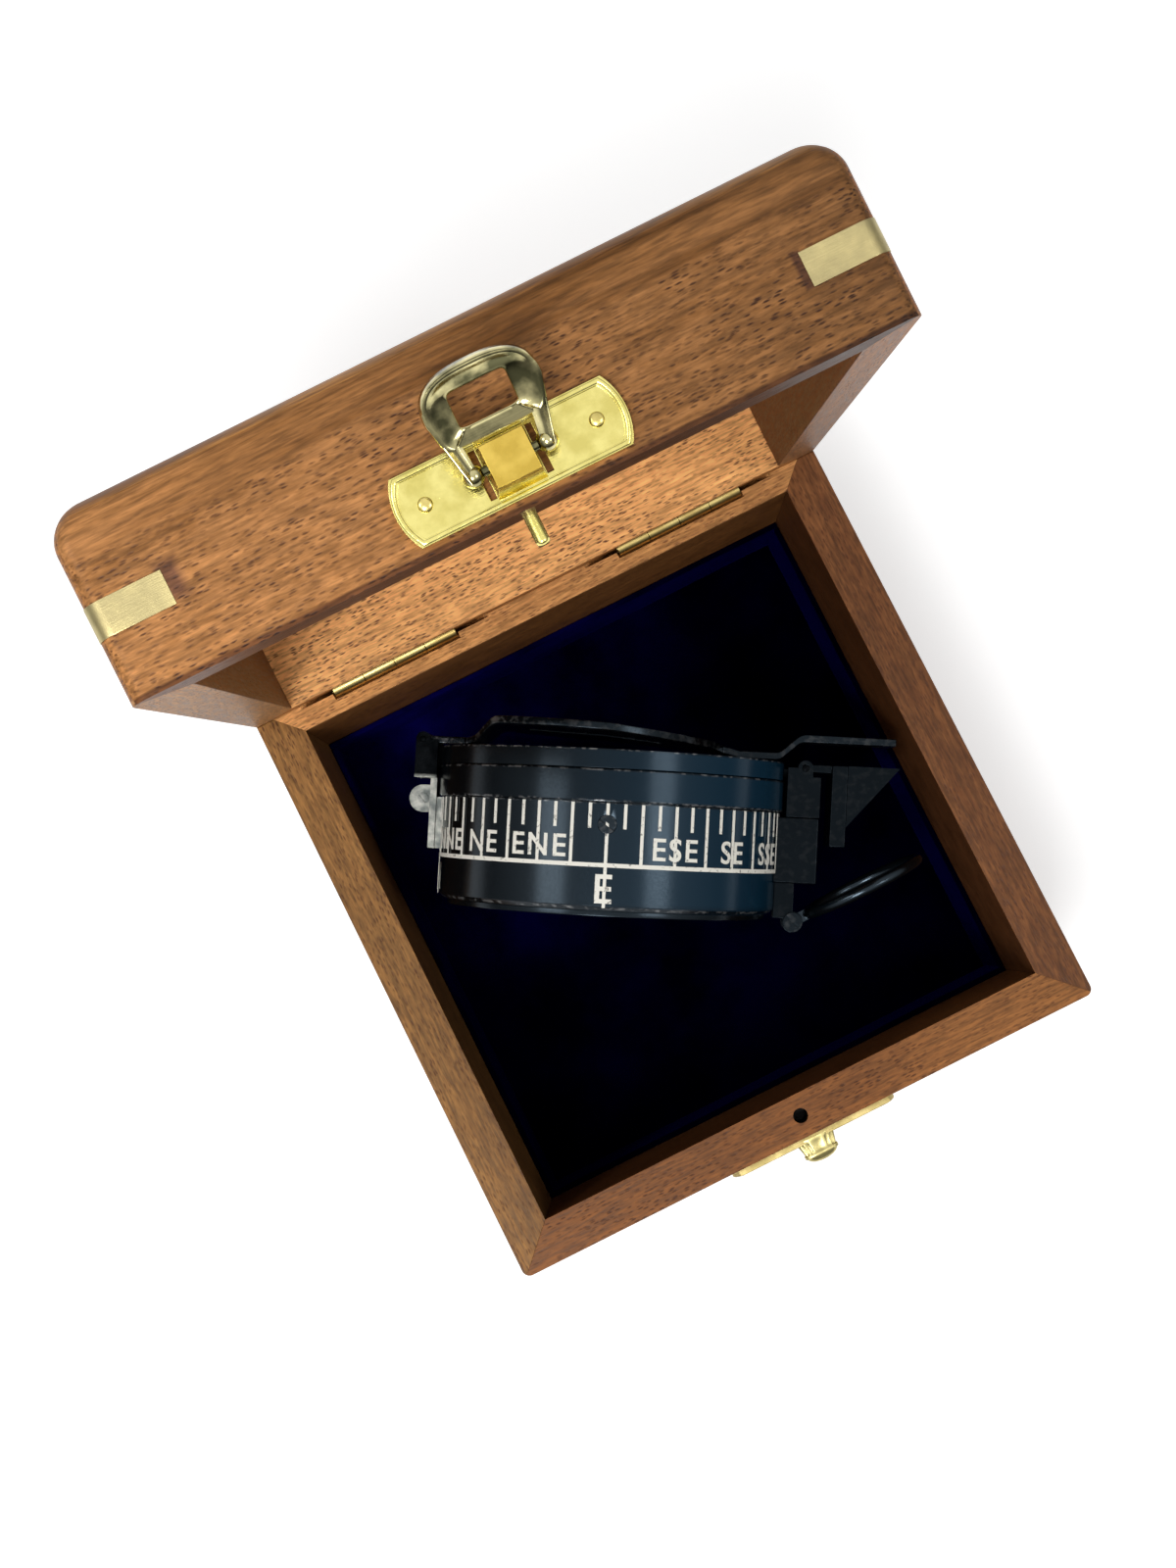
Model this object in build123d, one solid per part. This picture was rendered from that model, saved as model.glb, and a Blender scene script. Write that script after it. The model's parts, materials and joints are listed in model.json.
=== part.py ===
from build123d import *
from math import atan2, cos, degrees, radians, sin, sqrt
import os

# A wooden box with a hinged lid, a brass loop latch and a prismatic compass
# standing on its edge inside. Millimetres. The origin is the centre of the
# underside, +Z is up, +X runs along the hinges and the latch faces -Y.
# Wooden pieces and fittings of the lid are drawn with the lid shut, and
# opened_lid() then turns them to the open rest place.

# Box outside
box_width = 110.0
box_depth = 110.0
base_height = 48.0
lid_height = 26.4
wall = 7.5
parting_gap = 0.15
base_corner_radius = 1.4
lid_corner_radius = 2.6
lid_top_radius = 5.5
foot_chamfer = 0.8

# Panels and velvet
bottom_thickness = 4.0
bottom_rebate = 3.0
bottom_fit = 0.05
top_overlay = 1.9
top_plug = 2.2
top_plug_fit = 0.05
floor_velvet_thickness = 1.2
lining_thickness = 1.0
lining_height = 16.5
velvet_fit = 0.1

# Hinges, set in saw kerfs along the back rims
open_angle = 85.0
hinge_inset = 3.3
hinge_spacing = 56.0
barrel_length = 24.0
barrel_radius = 1.4
knuckle_count = 4
knuckle_gap = 0.12
hinge_pin_radius = 0.55
hinge_pin_fit = 0.07
leaf_thickness = 0.8
leaf_depth = 7.2
leaf_fit = 0.3
kerf_width = 1.1
kerf_depth = 8.2
saw_radius = 25.0
barrel_clearance = 0.3
stop_gap = 0.08

# Brass corner straps
strap_leg = 11.0
strap_height = 4.7
strap_thickness = 0.8
strap_proud = 0.1
lid_strap_height = 11.2
base_strap_drop = 24.0

# Latch plate, keeper plate and loop, set a little to the right
latch_x = 0.6
plate_length = 31.6
plate_height = 9.4
plate_thickness = 0.8
plate_end_bulge = 1.3
plate_edge_gap = 1.3
bead_width = 0.9
bead_height = 0.3
plate_nail_spacing = 23.6
nail_head_radius = 1.0
nail_shank_radius = 0.5
nail_length = 5.0
pivot_height = 6.1
pivot_standoff = 2.4
hub_width = 6.7
hub_height = 7.4
hub_depth = 3.6
hub_side_slope = 0.4
hub_end_slope = 0.9
hub_slot_width = 0.9
hub_slot_height = 6.6
hub_slot_gap = 0.1
trunnion_radius = 0.7
trunnion_fit = 0.15
trunnion_reach = 1.6
ear_radius = 1.45
ear_offset = 5.05
bail_thickness = 1.0
bail_length = 14.0
bail_crown = 3.0
bail_shoulder_half = 7.75
bail_turn = 8.7
bail_arc_out = 0.74
bail_arc_down = 0.9
bail_foot_half = 5.9
bail_bar_below = 4.0
bail_bar_width = 1.0
window_half = 3.9
skirt_depth = 1.3
skirt_width = 0.9
skirt_top = 2.4
bail_raise = 30.0
knob_width = 7.0
knob_depth = 4.3
knob_height = 3.0
knob_taper = 0.9
knob_swing_gap = 0.5

# Locating pin in the lid's rim
dowel_radius = 0.95
dowel_hole_radius = 1.3
dowel_out = 4.5
dowel_in = 7.0
dowel_hole_depth = 6.0
dowel_tip_round = 0.65

# Slack round a nail, screw or pin that sits fast in its hole
seat_fit = 0.05

# Compass: its place in the box, then its rings from the base side up
compass_room_right = 0.13735
compass_y = 8.0
compass_turn = -29.5
floor_gap = 0.25
case_radius = 30.1
bezel_overhang = 0.9
cover_inset = 1.5
cover_thickness = 1.0
case_height = 18.0
case_wall = 2.4
case_floor = 2.0
case_chamfer = 0.8
spigot_height = 3.4
spigot_step = 1.7
turning_gap = 0.15
bezel_height = 5.5
bezel_lip = 4.6
bezel_shoulder = 1.8
groove_gap = 0.12
glass_ring_height = 3.2
glass_ring_inset = 0.1
glass_ring_lip = 5.3
crystal_thickness = 1.6
crystal_fit = 0.1
case_line_height = 8.6
case_line_width = 0.55
case_line_depth = 0.25
case_bite = 1.5

# Card that floats on the pivot
pivot_radius = 0.9
pivot_tip = 0.35
pivot_height_in_case = 7.2
pivot_foot_radius = 3.0
pivot_foot_height = 1.2
card_air = 3.2
card_thickness = 0.6
card_hole_radius = 2.2
jewel_radius = 3.2
jewel_height = 2.6
jewel_socket = 1.1
jewel_air = 0.12
magnet_length = 34.0
magnet_width = 3.0
magnet_thickness = 1.2
magnet_offset = 6.0

# Screw on the east line, which clamps the bezel
case_screw_height = 15.4
case_screw_radius = 1.55
case_screw_proud = 0.15
case_screw_slot = 0.45
case_screw_turn = 35.0

# Plain steel lug on the left of the case
lug_width = 7.0
lug_thickness = 1.2
lug_low = 9.6
lug_high = 24.2
lug_spacer = 6.0
lug_tab_height = 18.5
lug_tab_radius = 2.5
lug_tab_reach = 4.0
lug_tab_thickness = 1.3
lug_hole_radius = 0.9
lug_ear_root = 2.0

# Sight lid over the bezel
leaf_sheet = 1.3
leaf_inset = 7.4
leaf_centre = -3.5
leaf_rest_gap = 0.5
leaf_crown = 3.6
leaf_lip = 2.5
leaf_sag = 0.6
leaf_shoulder = 1.2
leaf_bend = 2.2
tongue_width = 8.0
tongue_overhang = 19.5
tongue_step = 3.4
sight_hinge_overhang = 3.0
sight_knuckle_radius = 1.3
sight_knuckle_width = 8.0
sight_pin_radius = 0.5
sight_pin_fit = 0.08
window_length = 24.0
window_width = 11.0
window_glass = 0.8

# Prism unit on the right of the case
bracket_overhang = 6.2
bracket_width = 12.0
bracket_low = 6.6
bracket_split = 18.4
slide_gap = 0.1
slide_top = 25.6
prism_pin_overhang = 3.4
prism_pin_height = 27.2
prism_pin_radius = 0.6
prism_pin_fit = 0.1
prism_knuckle_radius = 1.35
prism_sheet = 1.4
prism_plate_gap = 2.0
prism_plate_thickness = 2.8
prism_plate_low = 13.4
prism_plate_width = 11.0
prism_depth = 9.2
prism_foot = 17.0
prism_cheek = 1.2
eye_radius = 2.0
eye_out = 4.4
sight_slot_length = 5.0
sight_slot_width = 0.8

# Thumb ring under the prism
ring_hinge_overhang = 2.6
ring_hinge_height = -0.4
ring_wire_radius = 0.95
ring_middle_radius = 11.0
ring_neck_gap = 0.4
ring_raise = 29.5
ring_lug_width = 4.4
ring_lug_radius = 1.9
ring_screw_radius = 0.8
ring_screw_fit = 0.1
ring_screw_head = 1.7
ring_screw_head_height = 1.0
ring_screw_turn = 40.0
ring_eye_radius = 1.6
ring_eye_width = 1.6
ring_side_gap = 0.15
ring_base_gap = 0.6
ring_cheek_lift = 0.6

rim_height = base_height
lid_rim = rim_height + parting_gap
hinge_y = box_depth / 2 - hinge_inset
hinge_z = rim_height + parting_gap / 2
inner_width = box_width - 2 * wall
inner_depth = box_depth - 2 * wall
front_face = -box_depth / 2
floor_top = bottom_thickness + floor_velvet_thickness
reach = 20.0

# Radii and reaches of the compass, which all follow its case
bezel_radius = case_radius + bezel_overhang
cover_radius = case_radius - cover_inset
spigot_radius = case_radius - spigot_step
bezel_lip_radius = bezel_radius - bezel_lip
glass_ring_radius = bezel_radius - glass_ring_inset
glass_ring_lip_radius = glass_ring_radius - glass_ring_lip
card_radius = case_radius - case_wall - card_air
leaf_radius = glass_ring_radius - leaf_inset
tongue_tip = bezel_radius + tongue_overhang
sight_hinge_out = bezel_radius + sight_hinge_overhang
bracket_out = bezel_radius + bracket_overhang
prism_pin_out = bezel_radius + prism_pin_overhang
prism_plate_in = bracket_out + prism_plate_gap
prism_plate_out = prism_plate_in + prism_plate_thickness
prism_reach = prism_plate_out + prism_depth
ring_hinge_out = bezel_radius + ring_hinge_overhang
lug_inner = bezel_radius + 2 * turning_gap
lug_tab_out = lug_inner + lug_thickness + lug_tab_reach - lug_tab_radius


def block(x_low, x_high, y_low, y_high, z_low, z_high):
    """A square block between two corners."""
    middle = Pos((x_low + x_high) / 2, (y_low + y_high) / 2, (z_low + z_high) / 2)
    return middle * Box(x_high - x_low, y_high - y_low, z_high - z_low)


def rod(radius, start, direction, length):
    """A round bar that starts at a point and runs in a direction."""
    bottom = (Align.CENTER, Align.CENTER, Align.MIN)
    return Plane(origin=start, z_dir=direction) * Cylinder(radius, length, align=bottom)


def disc(radius, low, high):
    """A round plate about the Z axis between two heights."""
    return rod(radius, (0, 0, low), (0, 0, 1), high - low)


def joined(pieces):
    """One shape that holds all the pieces, fused where they touch."""
    whole = pieces[0]
    for piece in pieces[1:]:
        whole += piece
    return whole


def save(shape, name):
    """Write one piece, or one group of like pieces, under its node's name."""
    export_step(shape, os.path.join("parts", name + ".step"))


def opened_lid(shape):
    """Turn what rides on the lid from shut to the open rest place."""
    axis = Pos(0, hinge_y, hinge_z)
    return axis * Rot(-open_angle, 0, 0) * Pos(0, -hinge_y, -hinge_z) * shape


# Wooden frames
sides = {"front": 0, "right": 90, "back": 180, "left": 270}


def mitre_wedge(side, low, high):
    """The space that one wall takes between its two 45 degree mitres."""
    across = side in ("front", "back")
    half_long = (box_width if across else box_depth) / 2
    half_out = (box_depth if across else box_width) / 2
    bite = 2 * wall
    corners = [
        (-half_long - reach, -half_out - reach),
        (half_long + reach, -half_out - reach),
        (half_long - bite, -half_out + bite),
        (-half_long + bite, -half_out + bite),
    ]
    outline = Polygon(*corners, align=None)
    return Rot(0, 0, sides[side]) * Pos(0, 0, low) * extrude(outline, high - low)


def strap_band(radius, middle, inward, outward):
    """A closed band round the box that the four corner straps are cut from."""
    outside = RectangleRounded(box_width + 2 * outward, box_depth + 2 * outward, radius + outward)
    inside = RectangleRounded(box_width - 2 * inward, box_depth - 2 * inward, radius)
    band = extrude(outside - inside, strap_height)
    return Pos(0, 0, middle - strap_height / 2) * band


def corner_straps(radius, middle, outward):
    """Four straps that wrap the upright corners at one height."""
    band = strap_band(radius, middle, strap_thickness, outward)
    gap_x = box_width / 2 - strap_leg
    gap_y = box_depth / 2 - strap_leg
    band -= block(-gap_x, gap_x, -box_depth, box_depth, middle - strap_height, middle + strap_height)
    band -= block(-box_width, box_width, -gap_y, gap_y, middle - strap_height, middle + strap_height)
    return band


def stop_bevel():
    """The slope behind the hinge line that stops the lid at its open angle."""
    slab = Box(2 * box_width, 4 * wall, 4 * wall, align=(Align.CENTER, Align.CENTER, Align.MIN))
    return Pos(0, hinge_y, hinge_z) * Rot(-open_angle / 2, 0, 0) * Pos(0, 0, -stop_gap) * slab


def hinge_cuts():
    """Saw kerfs and barrel grooves for both hinges, for the base's rim."""
    cuts = []
    for x in (-hinge_spacing / 2, hinge_spacing / 2):
        start = (x, hinge_y - kerf_width / 2, rim_height - kerf_depth + saw_radius)
        cuts.append(rod(saw_radius, start, (0, 1, 0), kerf_width))
        groove = barrel_length + 2 * barrel_clearance
        start = (x - groove / 2, hinge_y, hinge_z)
        cuts.append(rod(barrel_radius + barrel_clearance, start, (1, 0, 0), groove))
    return cuts


def flip(shape):
    """Mirror a cut in the base's rim to make the like cut in the lid's rim."""
    return mirror(shape, Plane.XY.offset(hinge_z))


def nail_places(middle):
    """The two points where a plate is nailed to the front face."""
    half = plate_nail_spacing / 2
    return [(latch_x + x, front_face, middle) for x in (-half, half)]


latch_middle = lid_rim + plate_edge_gap + plate_height / 2
keeper_middle = rim_height - plate_edge_gap - plate_height / 2
dowel_y = front_face + wall / 2


def nail_holes(middle):
    """Holes in a front wall for a plate's two nails."""
    holes = []
    for x, y, z in nail_places(middle):
        holes.append(rod(nail_shank_radius + seat_fit, (x, y - reach, z), (0, 1, 0), reach + nail_length))
    return holes


def base_frame():
    """The base's closed frame, before it is cut at the mitres."""
    outer = extrude(RectangleRounded(box_width, box_depth, base_corner_radius), base_height)
    outer = chamfer(outer.faces().sort_by(Axis.Z)[0].edges(), foot_chamfer)
    frame = outer - block(-inner_width / 2, inner_width / 2, -inner_depth / 2, inner_depth / 2,
                          -reach, base_height + reach)
    half_x = inner_width / 2 + bottom_rebate
    half_y = inner_depth / 2 + bottom_rebate
    frame -= block(-half_x, half_x, -half_y, half_y, -reach, bottom_thickness)
    frame -= corner_straps(base_corner_radius, rim_height - base_strap_drop, 0)
    frame -= stop_bevel()
    frame -= rod(dowel_hole_radius, (0, dowel_y, rim_height - dowel_hole_depth), (0, 0, 1), reach)
    for cut in hinge_cuts() + nail_holes(keeper_middle):
        frame -= cut
    return frame


def lid_frame():
    """The lid's closed frame, before it is cut at the mitres."""
    top = lid_rim + lid_height
    outer = extrude(RectangleRounded(box_width, box_depth, lid_corner_radius), lid_height)
    outer = fillet(outer.faces().sort_by(Axis.Z)[-1].edges(), lid_top_radius)
    outer = Pos(0, 0, lid_rim) * outer
    frame = outer - block(-inner_width / 2, inner_width / 2, -inner_depth / 2, inner_depth / 2,
                          lid_rim - reach, top + reach)
    frame -= block(-box_width, box_width, -box_depth, box_depth, top - top_overlay, top + reach)
    frame -= corner_straps(lid_corner_radius, lid_rim + lid_strap_height, 0)
    frame -= flip(stop_bevel())
    frame -= rod(dowel_radius, (0, dowel_y, lid_rim - reach), (0, 0, 1), reach + dowel_in)
    for cut in [flip(cut) for cut in hinge_cuts()] + nail_holes(latch_middle):
        frame -= cut
    return frame


def lid_top_panel():
    """The lid's top: a thin overlay with rounded edges and a plug below it."""
    top = lid_rim + lid_height
    outer = extrude(RectangleRounded(box_width, box_depth, lid_corner_radius), lid_height)
    outer = fillet(outer.faces().sort_by(Axis.Z)[-1].edges(), lid_top_radius)
    outer = Pos(0, 0, lid_rim) * outer
    overlay = outer & block(-box_width, box_width, -box_depth, box_depth, top - top_overlay, top + reach)
    half_x = inner_width / 2 - top_plug_fit
    half_y = inner_depth / 2 - top_plug_fit
    return overlay + block(-half_x, half_x, -half_y, half_y, top - top_overlay - top_plug, top - top_overlay)


def make_wood():
    """Walls, panels and corner straps of the base and the lid."""
    base = base_frame()
    lid = lid_frame()
    for side in sides:
        save(base & mitre_wedge(side, -reach, base_height + reach), "base_" + side + "_wall")
        lid_part = lid & mitre_wedge(side, lid_rim - reach, lid_rim + lid_height + reach)
        save(opened_lid(lid_part), "lid_" + side + "_wall")
    half_x = inner_width / 2 + bottom_rebate - bottom_fit
    half_y = inner_depth / 2 + bottom_rebate - bottom_fit
    save(block(-half_x, half_x, -half_y, half_y, 0, bottom_thickness), "base_bottom_panel")
    save(opened_lid(lid_top_panel()), "lid_top_panel")
    straps = corner_straps(base_corner_radius, rim_height - base_strap_drop, strap_proud)
    save(straps, "base_corner_straps")
    straps = corner_straps(lid_corner_radius, lid_rim + lid_strap_height, strap_proud)
    save(opened_lid(straps), "lid_corner_straps")


def make_velvet():
    """A floor pad and four lining strips, glued inside the base."""
    half_x = inner_width / 2 - velvet_fit
    half_y = inner_depth / 2 - velvet_fit
    save(block(-half_x, half_x, -half_y, half_y, bottom_thickness, floor_top), "floor_velvet")
    low, high = floor_top, floor_top + lining_height
    save(block(-half_x, half_x, -half_y, -half_y + lining_thickness, low, high), "lining_front")
    save(block(-half_x, half_x, half_y - lining_thickness, half_y, low, high), "lining_back")
    end = half_y - lining_thickness - velvet_fit
    save(block(-half_x, -half_x + lining_thickness, -end, end, low, high), "lining_left")
    save(block(half_x - lining_thickness, half_x, -end, end, low, high), "lining_right")


# Hinges
def hinge_leaf(x, first_knuckle):
    """One leaf below the hinge line, with every other knuckle of the barrel."""
    pitch = barrel_length / knuckle_count
    half = leaf_thickness / 2
    left = x - barrel_length / 2
    leaf_top = hinge_z - barrel_radius - barrel_clearance / 2
    leaf = block(left, left + barrel_length, hinge_y - half, hinge_y + half, hinge_z - leaf_depth, leaf_top)
    for number in range(first_knuckle, knuckle_count, 2):
        start = left + number * pitch + knuckle_gap / 2
        length = pitch - knuckle_gap
        leaf += block(start, start + length, hinge_y - half, hinge_y + half, leaf_top, hinge_z)
        leaf += rod(barrel_radius, (start, hinge_y, hinge_z), (1, 0, 0), length)
    arc_start = (x, hinge_y - wall, hinge_z - kerf_depth + saw_radius)
    leaf &= rod(saw_radius - leaf_fit, arc_start, (0, 1, 0), 2 * wall)
    bore = hinge_pin_radius + hinge_pin_fit
    return leaf - rod(bore, (left - reach, hinge_y, hinge_z), (1, 0, 0), barrel_length + 2 * reach)


def make_hinges():
    """Two butt hinges: a leaf in the base, a leaf in the lid and a pin each."""
    for name, x in (("left", -hinge_spacing / 2), ("right", hinge_spacing / 2)):
        save(hinge_leaf(x, 0), "base_hinge_leaf_" + name)
        save(opened_lid(flip(hinge_leaf(x, 1))), "lid_hinge_leaf_" + name)
        start = (x - barrel_length / 2, hinge_y, hinge_z)
        save(rod(hinge_pin_radius, start, (1, 0, 0), barrel_length), "hinge_pin_" + name)


# Latch
def stamped_plate(middle):
    """A thin plate with bowed ends and a raised bead round its edge."""
    half_x = plate_length / 2 - plate_end_bulge
    half_z = plate_height / 2

    def outline(inset):
        x, z, tip = half_x - inset, half_z - inset, half_x + plate_end_bulge - inset
        with BuildLine() as line:
            Line((-x, -z), (x, -z))
            ThreePointArc((x, -z), (tip, 0), (x, z))
            Line((x, z), (-x, z))
            ThreePointArc((-x, z), (-tip, 0), (-x, -z))
        return make_face(line.line)

    face = Plane(origin=(latch_x, front_face, middle), x_dir=(1, 0, 0), z_dir=(0, -1, 0))
    plate = extrude(outline(0), plate_thickness + bead_height)
    plate -= Pos(0, 0, plate_thickness) * extrude(outline(bead_width), reach)
    return face * plate


def tapered_block(width, height, depth, side_slope, end_slope):
    """A block on the XY plane whose four sides slope in towards its top."""
    foot = Rectangle(width, height)
    tip = Pos(0, 0, depth) * Rectangle(width - 2 * side_slope, height - 2 * end_slope)
    return loft([foot, tip])


pivot_y = front_face - plate_thickness - pivot_standoff
pivot_z = lid_rim + pivot_height


def front_plane(z, standoff):
    """A plane that faces out of the box's front at one height."""
    return Plane(origin=(latch_x, front_face - standoff, z), x_dir=(1, 0, 0), z_dir=(0, -1, 0))


def latch_plate():
    """The lid's plate, with the raised hub that carries the loop."""
    plate = stamped_plate(latch_middle)
    hub = tapered_block(hub_width, hub_height, hub_depth, hub_side_slope, hub_end_slope)
    plate += front_plane(pivot_z, plate_thickness) * hub
    slot_x = hub_width / 2 + hub_slot_gap + hub_slot_width / 2
    for x in (-slot_x, slot_x):
        slot = Box(hub_slot_width, reach, hub_slot_height)
        plate -= Pos(latch_x + x, front_face, pivot_z) * slot
    bore = trunnion_radius + trunnion_fit
    plate -= rod(bore, (latch_x - hub_width, pivot_y, pivot_z), (1, 0, 0), 2 * hub_width)
    for hole in nail_holes(latch_middle):
        plate -= hole
    return plate


def loop_face(edge):
    """The loop's outline from its pivot line down, or one drawn in by a margin."""
    foot, shoulder, crown = bail_foot_half - edge, bail_shoulder_half - edge, bail_length - edge
    out, down = bail_arc_out * shoulder, bail_arc_down * crown
    with BuildLine() as line:
        Line((-foot, 0), (foot, 0))
        Line((foot, 0), (shoulder, -bail_turn))
        ThreePointArc((shoulder, -bail_turn), (out, -down), (0, -crown))
        ThreePointArc((0, -crown), (-out, -down), (-shoulder, -bail_turn))
        Line((-shoulder, -bail_turn), (-foot, 0))
    return make_face(line.line)


def latch_bail():
    """The stamped loop, drawn hanging down from its pivots."""
    inner = bail_length - bail_crown
    sheet = extrude(loop_face(0), bail_thickness)
    window = block(-window_half, window_half, -inner, reach, -reach, reach)
    bar_end = bail_bar_below + bail_bar_width
    sheet -= window - block(-reach, reach, -bar_end, -bail_bar_below, -reach, reach)
    skirt = extrude(loop_face(0), skirt_depth) - extrude(loop_face(skirt_width), skirt_depth)
    skirt -= block(-reach, reach, -skirt_top, reach, -reach, reach)
    bail = Pos(0, 0, -bail_thickness / 2) * sheet
    bail += Pos(0, 0, -bail_thickness / 2 - skirt_depth) * skirt
    for side in (-1, 1):
        bail += Pos(side * ear_offset, 0, 0) * Sphere(ear_radius)
        length = ear_offset - hub_width / 2 + trunnion_reach
        bail += rod(trunnion_radius, (side * ear_offset, 0, 0), (-side, 0, 0), length)
    return Plane(origin=(latch_x, pivot_y, pivot_z), x_dir=(1, 0, 0), z_dir=(0, -1, 0)) * bail


def raised_bail():
    """The loop swung up off the lid's face, as it lies at rest."""
    turn = -(180 - bail_raise)
    return Pos(0, pivot_y, pivot_z) * Rot(turn, 0, 0) * Pos(0, -pivot_y, -pivot_z) * latch_bail()


def keeper_plate():
    """The base's plate, with the knob that the loop drops over."""
    plate = stamped_plate(keeper_middle)
    swing = bail_length - bail_crown - knob_swing_gap
    knob_z = pivot_z - swing + knob_height / 2
    knob = tapered_block(knob_width, knob_height, knob_depth, knob_taper, knob_taper)
    plate += front_plane(knob_z, plate_thickness) * knob
    for hole in nail_holes(keeper_middle):
        plate -= hole
    return plate


def plate_nails(middle):
    """Two round-headed nails through one plate."""
    nails = []
    for x, y, z in nail_places(middle):
        seat = y - plate_thickness
        nail = rod(nail_shank_radius, (x, seat, z), (0, 1, 0), plate_thickness + nail_length)
        head = Pos(x, seat, z) * Sphere(nail_head_radius)
        head -= block(x - reach, x + reach, seat, seat + reach, z - reach, z + reach)
        nails.append(nail + head)
    return joined(nails)


def dowel_pin():
    """The brass pin that drops into the base's rim and keeps the lid square."""
    low, high = lid_rim - dowel_out, lid_rim + dowel_in
    pin = rod(dowel_radius, (0, dowel_y, low), (0, 0, 1), high - low)
    return fillet(pin.edges().sort_by(Axis.Z)[0], dowel_tip_round)


def make_latch():
    """Latch, keeper and locating pin."""
    save(opened_lid(latch_plate()), "latch_plate")
    save(opened_lid(plate_nails(latch_middle)), "latch_nails")
    save(opened_lid(raised_bail()), "latch_bail")
    save(opened_lid(dowel_pin()), "dowel_pin")
    save(keeper_plate(), "keeper_plate")
    save(plate_nails(keeper_middle), "keeper_nails")


# Compass, drawn about its own axis: local +Z runs from its base to its lid,
# local +X towards the prism and local -Y to the east line, which stands on top
case_low = cover_thickness
case_high = case_low + case_height
bezel_low = case_high + turning_gap
bezel_high = bezel_low + bezel_height
ring_low = bezel_high + groove_gap
ring_high = ring_low + glass_ring_height
compass_lean = degrees(atan2(bezel_radius - case_radius, bezel_low - case_low - case_chamfer))
foot_reach = bezel_radius * cos(radians(compass_lean)) - bezel_low * sin(radians(compass_lean))
compass_z = floor_top + floor_gap + foot_reach
half_thickness = ring_high / 2


def across(out, height):
    """How far to the right of the compass's middle a point beside its axis lies."""
    turn = radians(compass_turn)
    return out * cos(turn) - (height - half_thickness) * sin(turn) * cos(radians(compass_lean))


def compass_x():
    """The middle's place across the box, with a share of the free room on its right."""
    right = across(tongue_tip, sight_axis_height() + tongue_step + leaf_sheet / 2)
    left = across(-lug_tab_out, lug_tab_height) - lug_tab_radius
    free = inner_width - (right - left)
    return inner_width / 2 - compass_room_right * free - right


def compass_plane():
    """The compass's own axes as it stands in the box, leaning on its base."""
    turn = radians(compass_turn)
    lean = radians(compass_lean)
    along = Vector(cos(turn), sin(turn), 0)
    level = Vector(-sin(turn), cos(turn), 0)
    axis = level * cos(lean) + Vector(0, 0, sin(lean))
    middle = Vector(compass_x(), compass_y, compass_z)
    return Plane(origin=middle - level * half_thickness * cos(lean), x_dir=along, z_dir=axis)


def stood(shape):
    """Move a compass piece from its own axes to its place in the box."""
    return compass_plane().location * shape


def tube(outer, inner, low, high):
    """A plain ring about the compass axis."""
    return disc(outer, low, high) - disc(inner, low - reach, high + reach)


def compass_case():
    """The turned case: a cup with a spigot for the bezel and bores for screws."""
    case = disc(case_radius, case_low, case_high)
    case = chamfer(case.edges().sort_by(Axis.Z)[0], case_chamfer)
    case += disc(spigot_radius, case_high, case_high + spigot_height)
    case -= disc(case_radius - case_wall, case_low + case_floor, case_high + reach)
    case -= tube(case_radius + reach, case_radius - case_line_depth,
                 case_line_height - case_line_width / 2, case_line_height + case_line_width / 2)
    case -= rod(case_screw_radius + seat_fit, (0, -case_radius - reach, case_screw_height), (0, 1, 0),
                reach + case_wall)
    return case


def case_screw():
    """The slotted clamp screw that sits in the east line of the case."""
    start = (0, -case_radius - case_screw_proud, case_screw_height)
    screw = rod(case_screw_radius, start, (0, 1, 0), case_wall)
    slot = Box(reach, 2 * case_screw_slot, case_screw_slot)
    return screw - Pos(*start) * Rot(0, case_screw_turn, 0) * slot


def make_case():
    """Base cover, case, clamp screw and the steel lug."""
    save(stood(disc(cover_radius, 0, cover_thickness)), "compass_base_cover")
    save(stood(compass_case()), "compass_case")
    save(stood(case_screw()), "case_screw")
    save(stood(side_lug()), "case_lug")


def side_lug():
    """A steel strip with a holed tab, on a spacer against the case."""
    inner, out = lug_inner, lug_tab_out
    strip = block(-inner - lug_thickness, -inner, -lug_width / 2, lug_width / 2, lug_low, lug_high)
    spacer = block(-inner, -case_radius + case_bite, -lug_spacer / 2, lug_spacer / 2, lug_low,
                   case_high - turning_gap)
    spacer -= disc(case_radius, 0, case_high + reach)
    tab = block(-out, -inner - lug_thickness, -lug_tab_thickness / 2, lug_tab_thickness / 2,
                lug_tab_height - lug_tab_radius, lug_tab_height + lug_tab_radius)
    tab += rod(lug_tab_radius, (-out, -lug_tab_thickness / 2, lug_tab_height), (0, 1, 0), lug_tab_thickness)
    lug = strip + spacer + tab
    lug -= rod(lug_hole_radius, (-out, -reach, lug_tab_height), (0, 1, 0), 2 * reach)
    ears = block(-sight_hinge_out, -inner, -lug_width / 2, lug_width / 2, lug_high - lug_ear_root, lug_high)
    hinge_top = sight_axis_height()
    for side in (-1, 1):
        y = side * (sight_knuckle_width / 2 + ring_side_gap)
        low, high = min(y, y + side * lug_thickness), max(y, y + side * lug_thickness)
        ears += block(-sight_hinge_out - sight_knuckle_radius, -inner, low, high,
                      lug_high - lug_ear_root, hinge_top)
        ears += rod(sight_knuckle_radius, (-sight_hinge_out, low, hinge_top), (0, 1, 0), lug_thickness)
        ears += block(-sight_hinge_out, -inner, min(0, y), max(0, y), lug_high - lug_ear_root, lug_high)
    lug += ears
    bore = sight_pin_radius + seat_fit
    return lug - rod(bore, (-sight_hinge_out, -reach, hinge_top), (0, 1, 0), 2 * reach)


def sight_axis_height():
    """How high the sight lid's hinge pin lies above the compass's base."""
    return ring_high + leaf_rest_gap + leaf_sheet / 2


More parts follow.
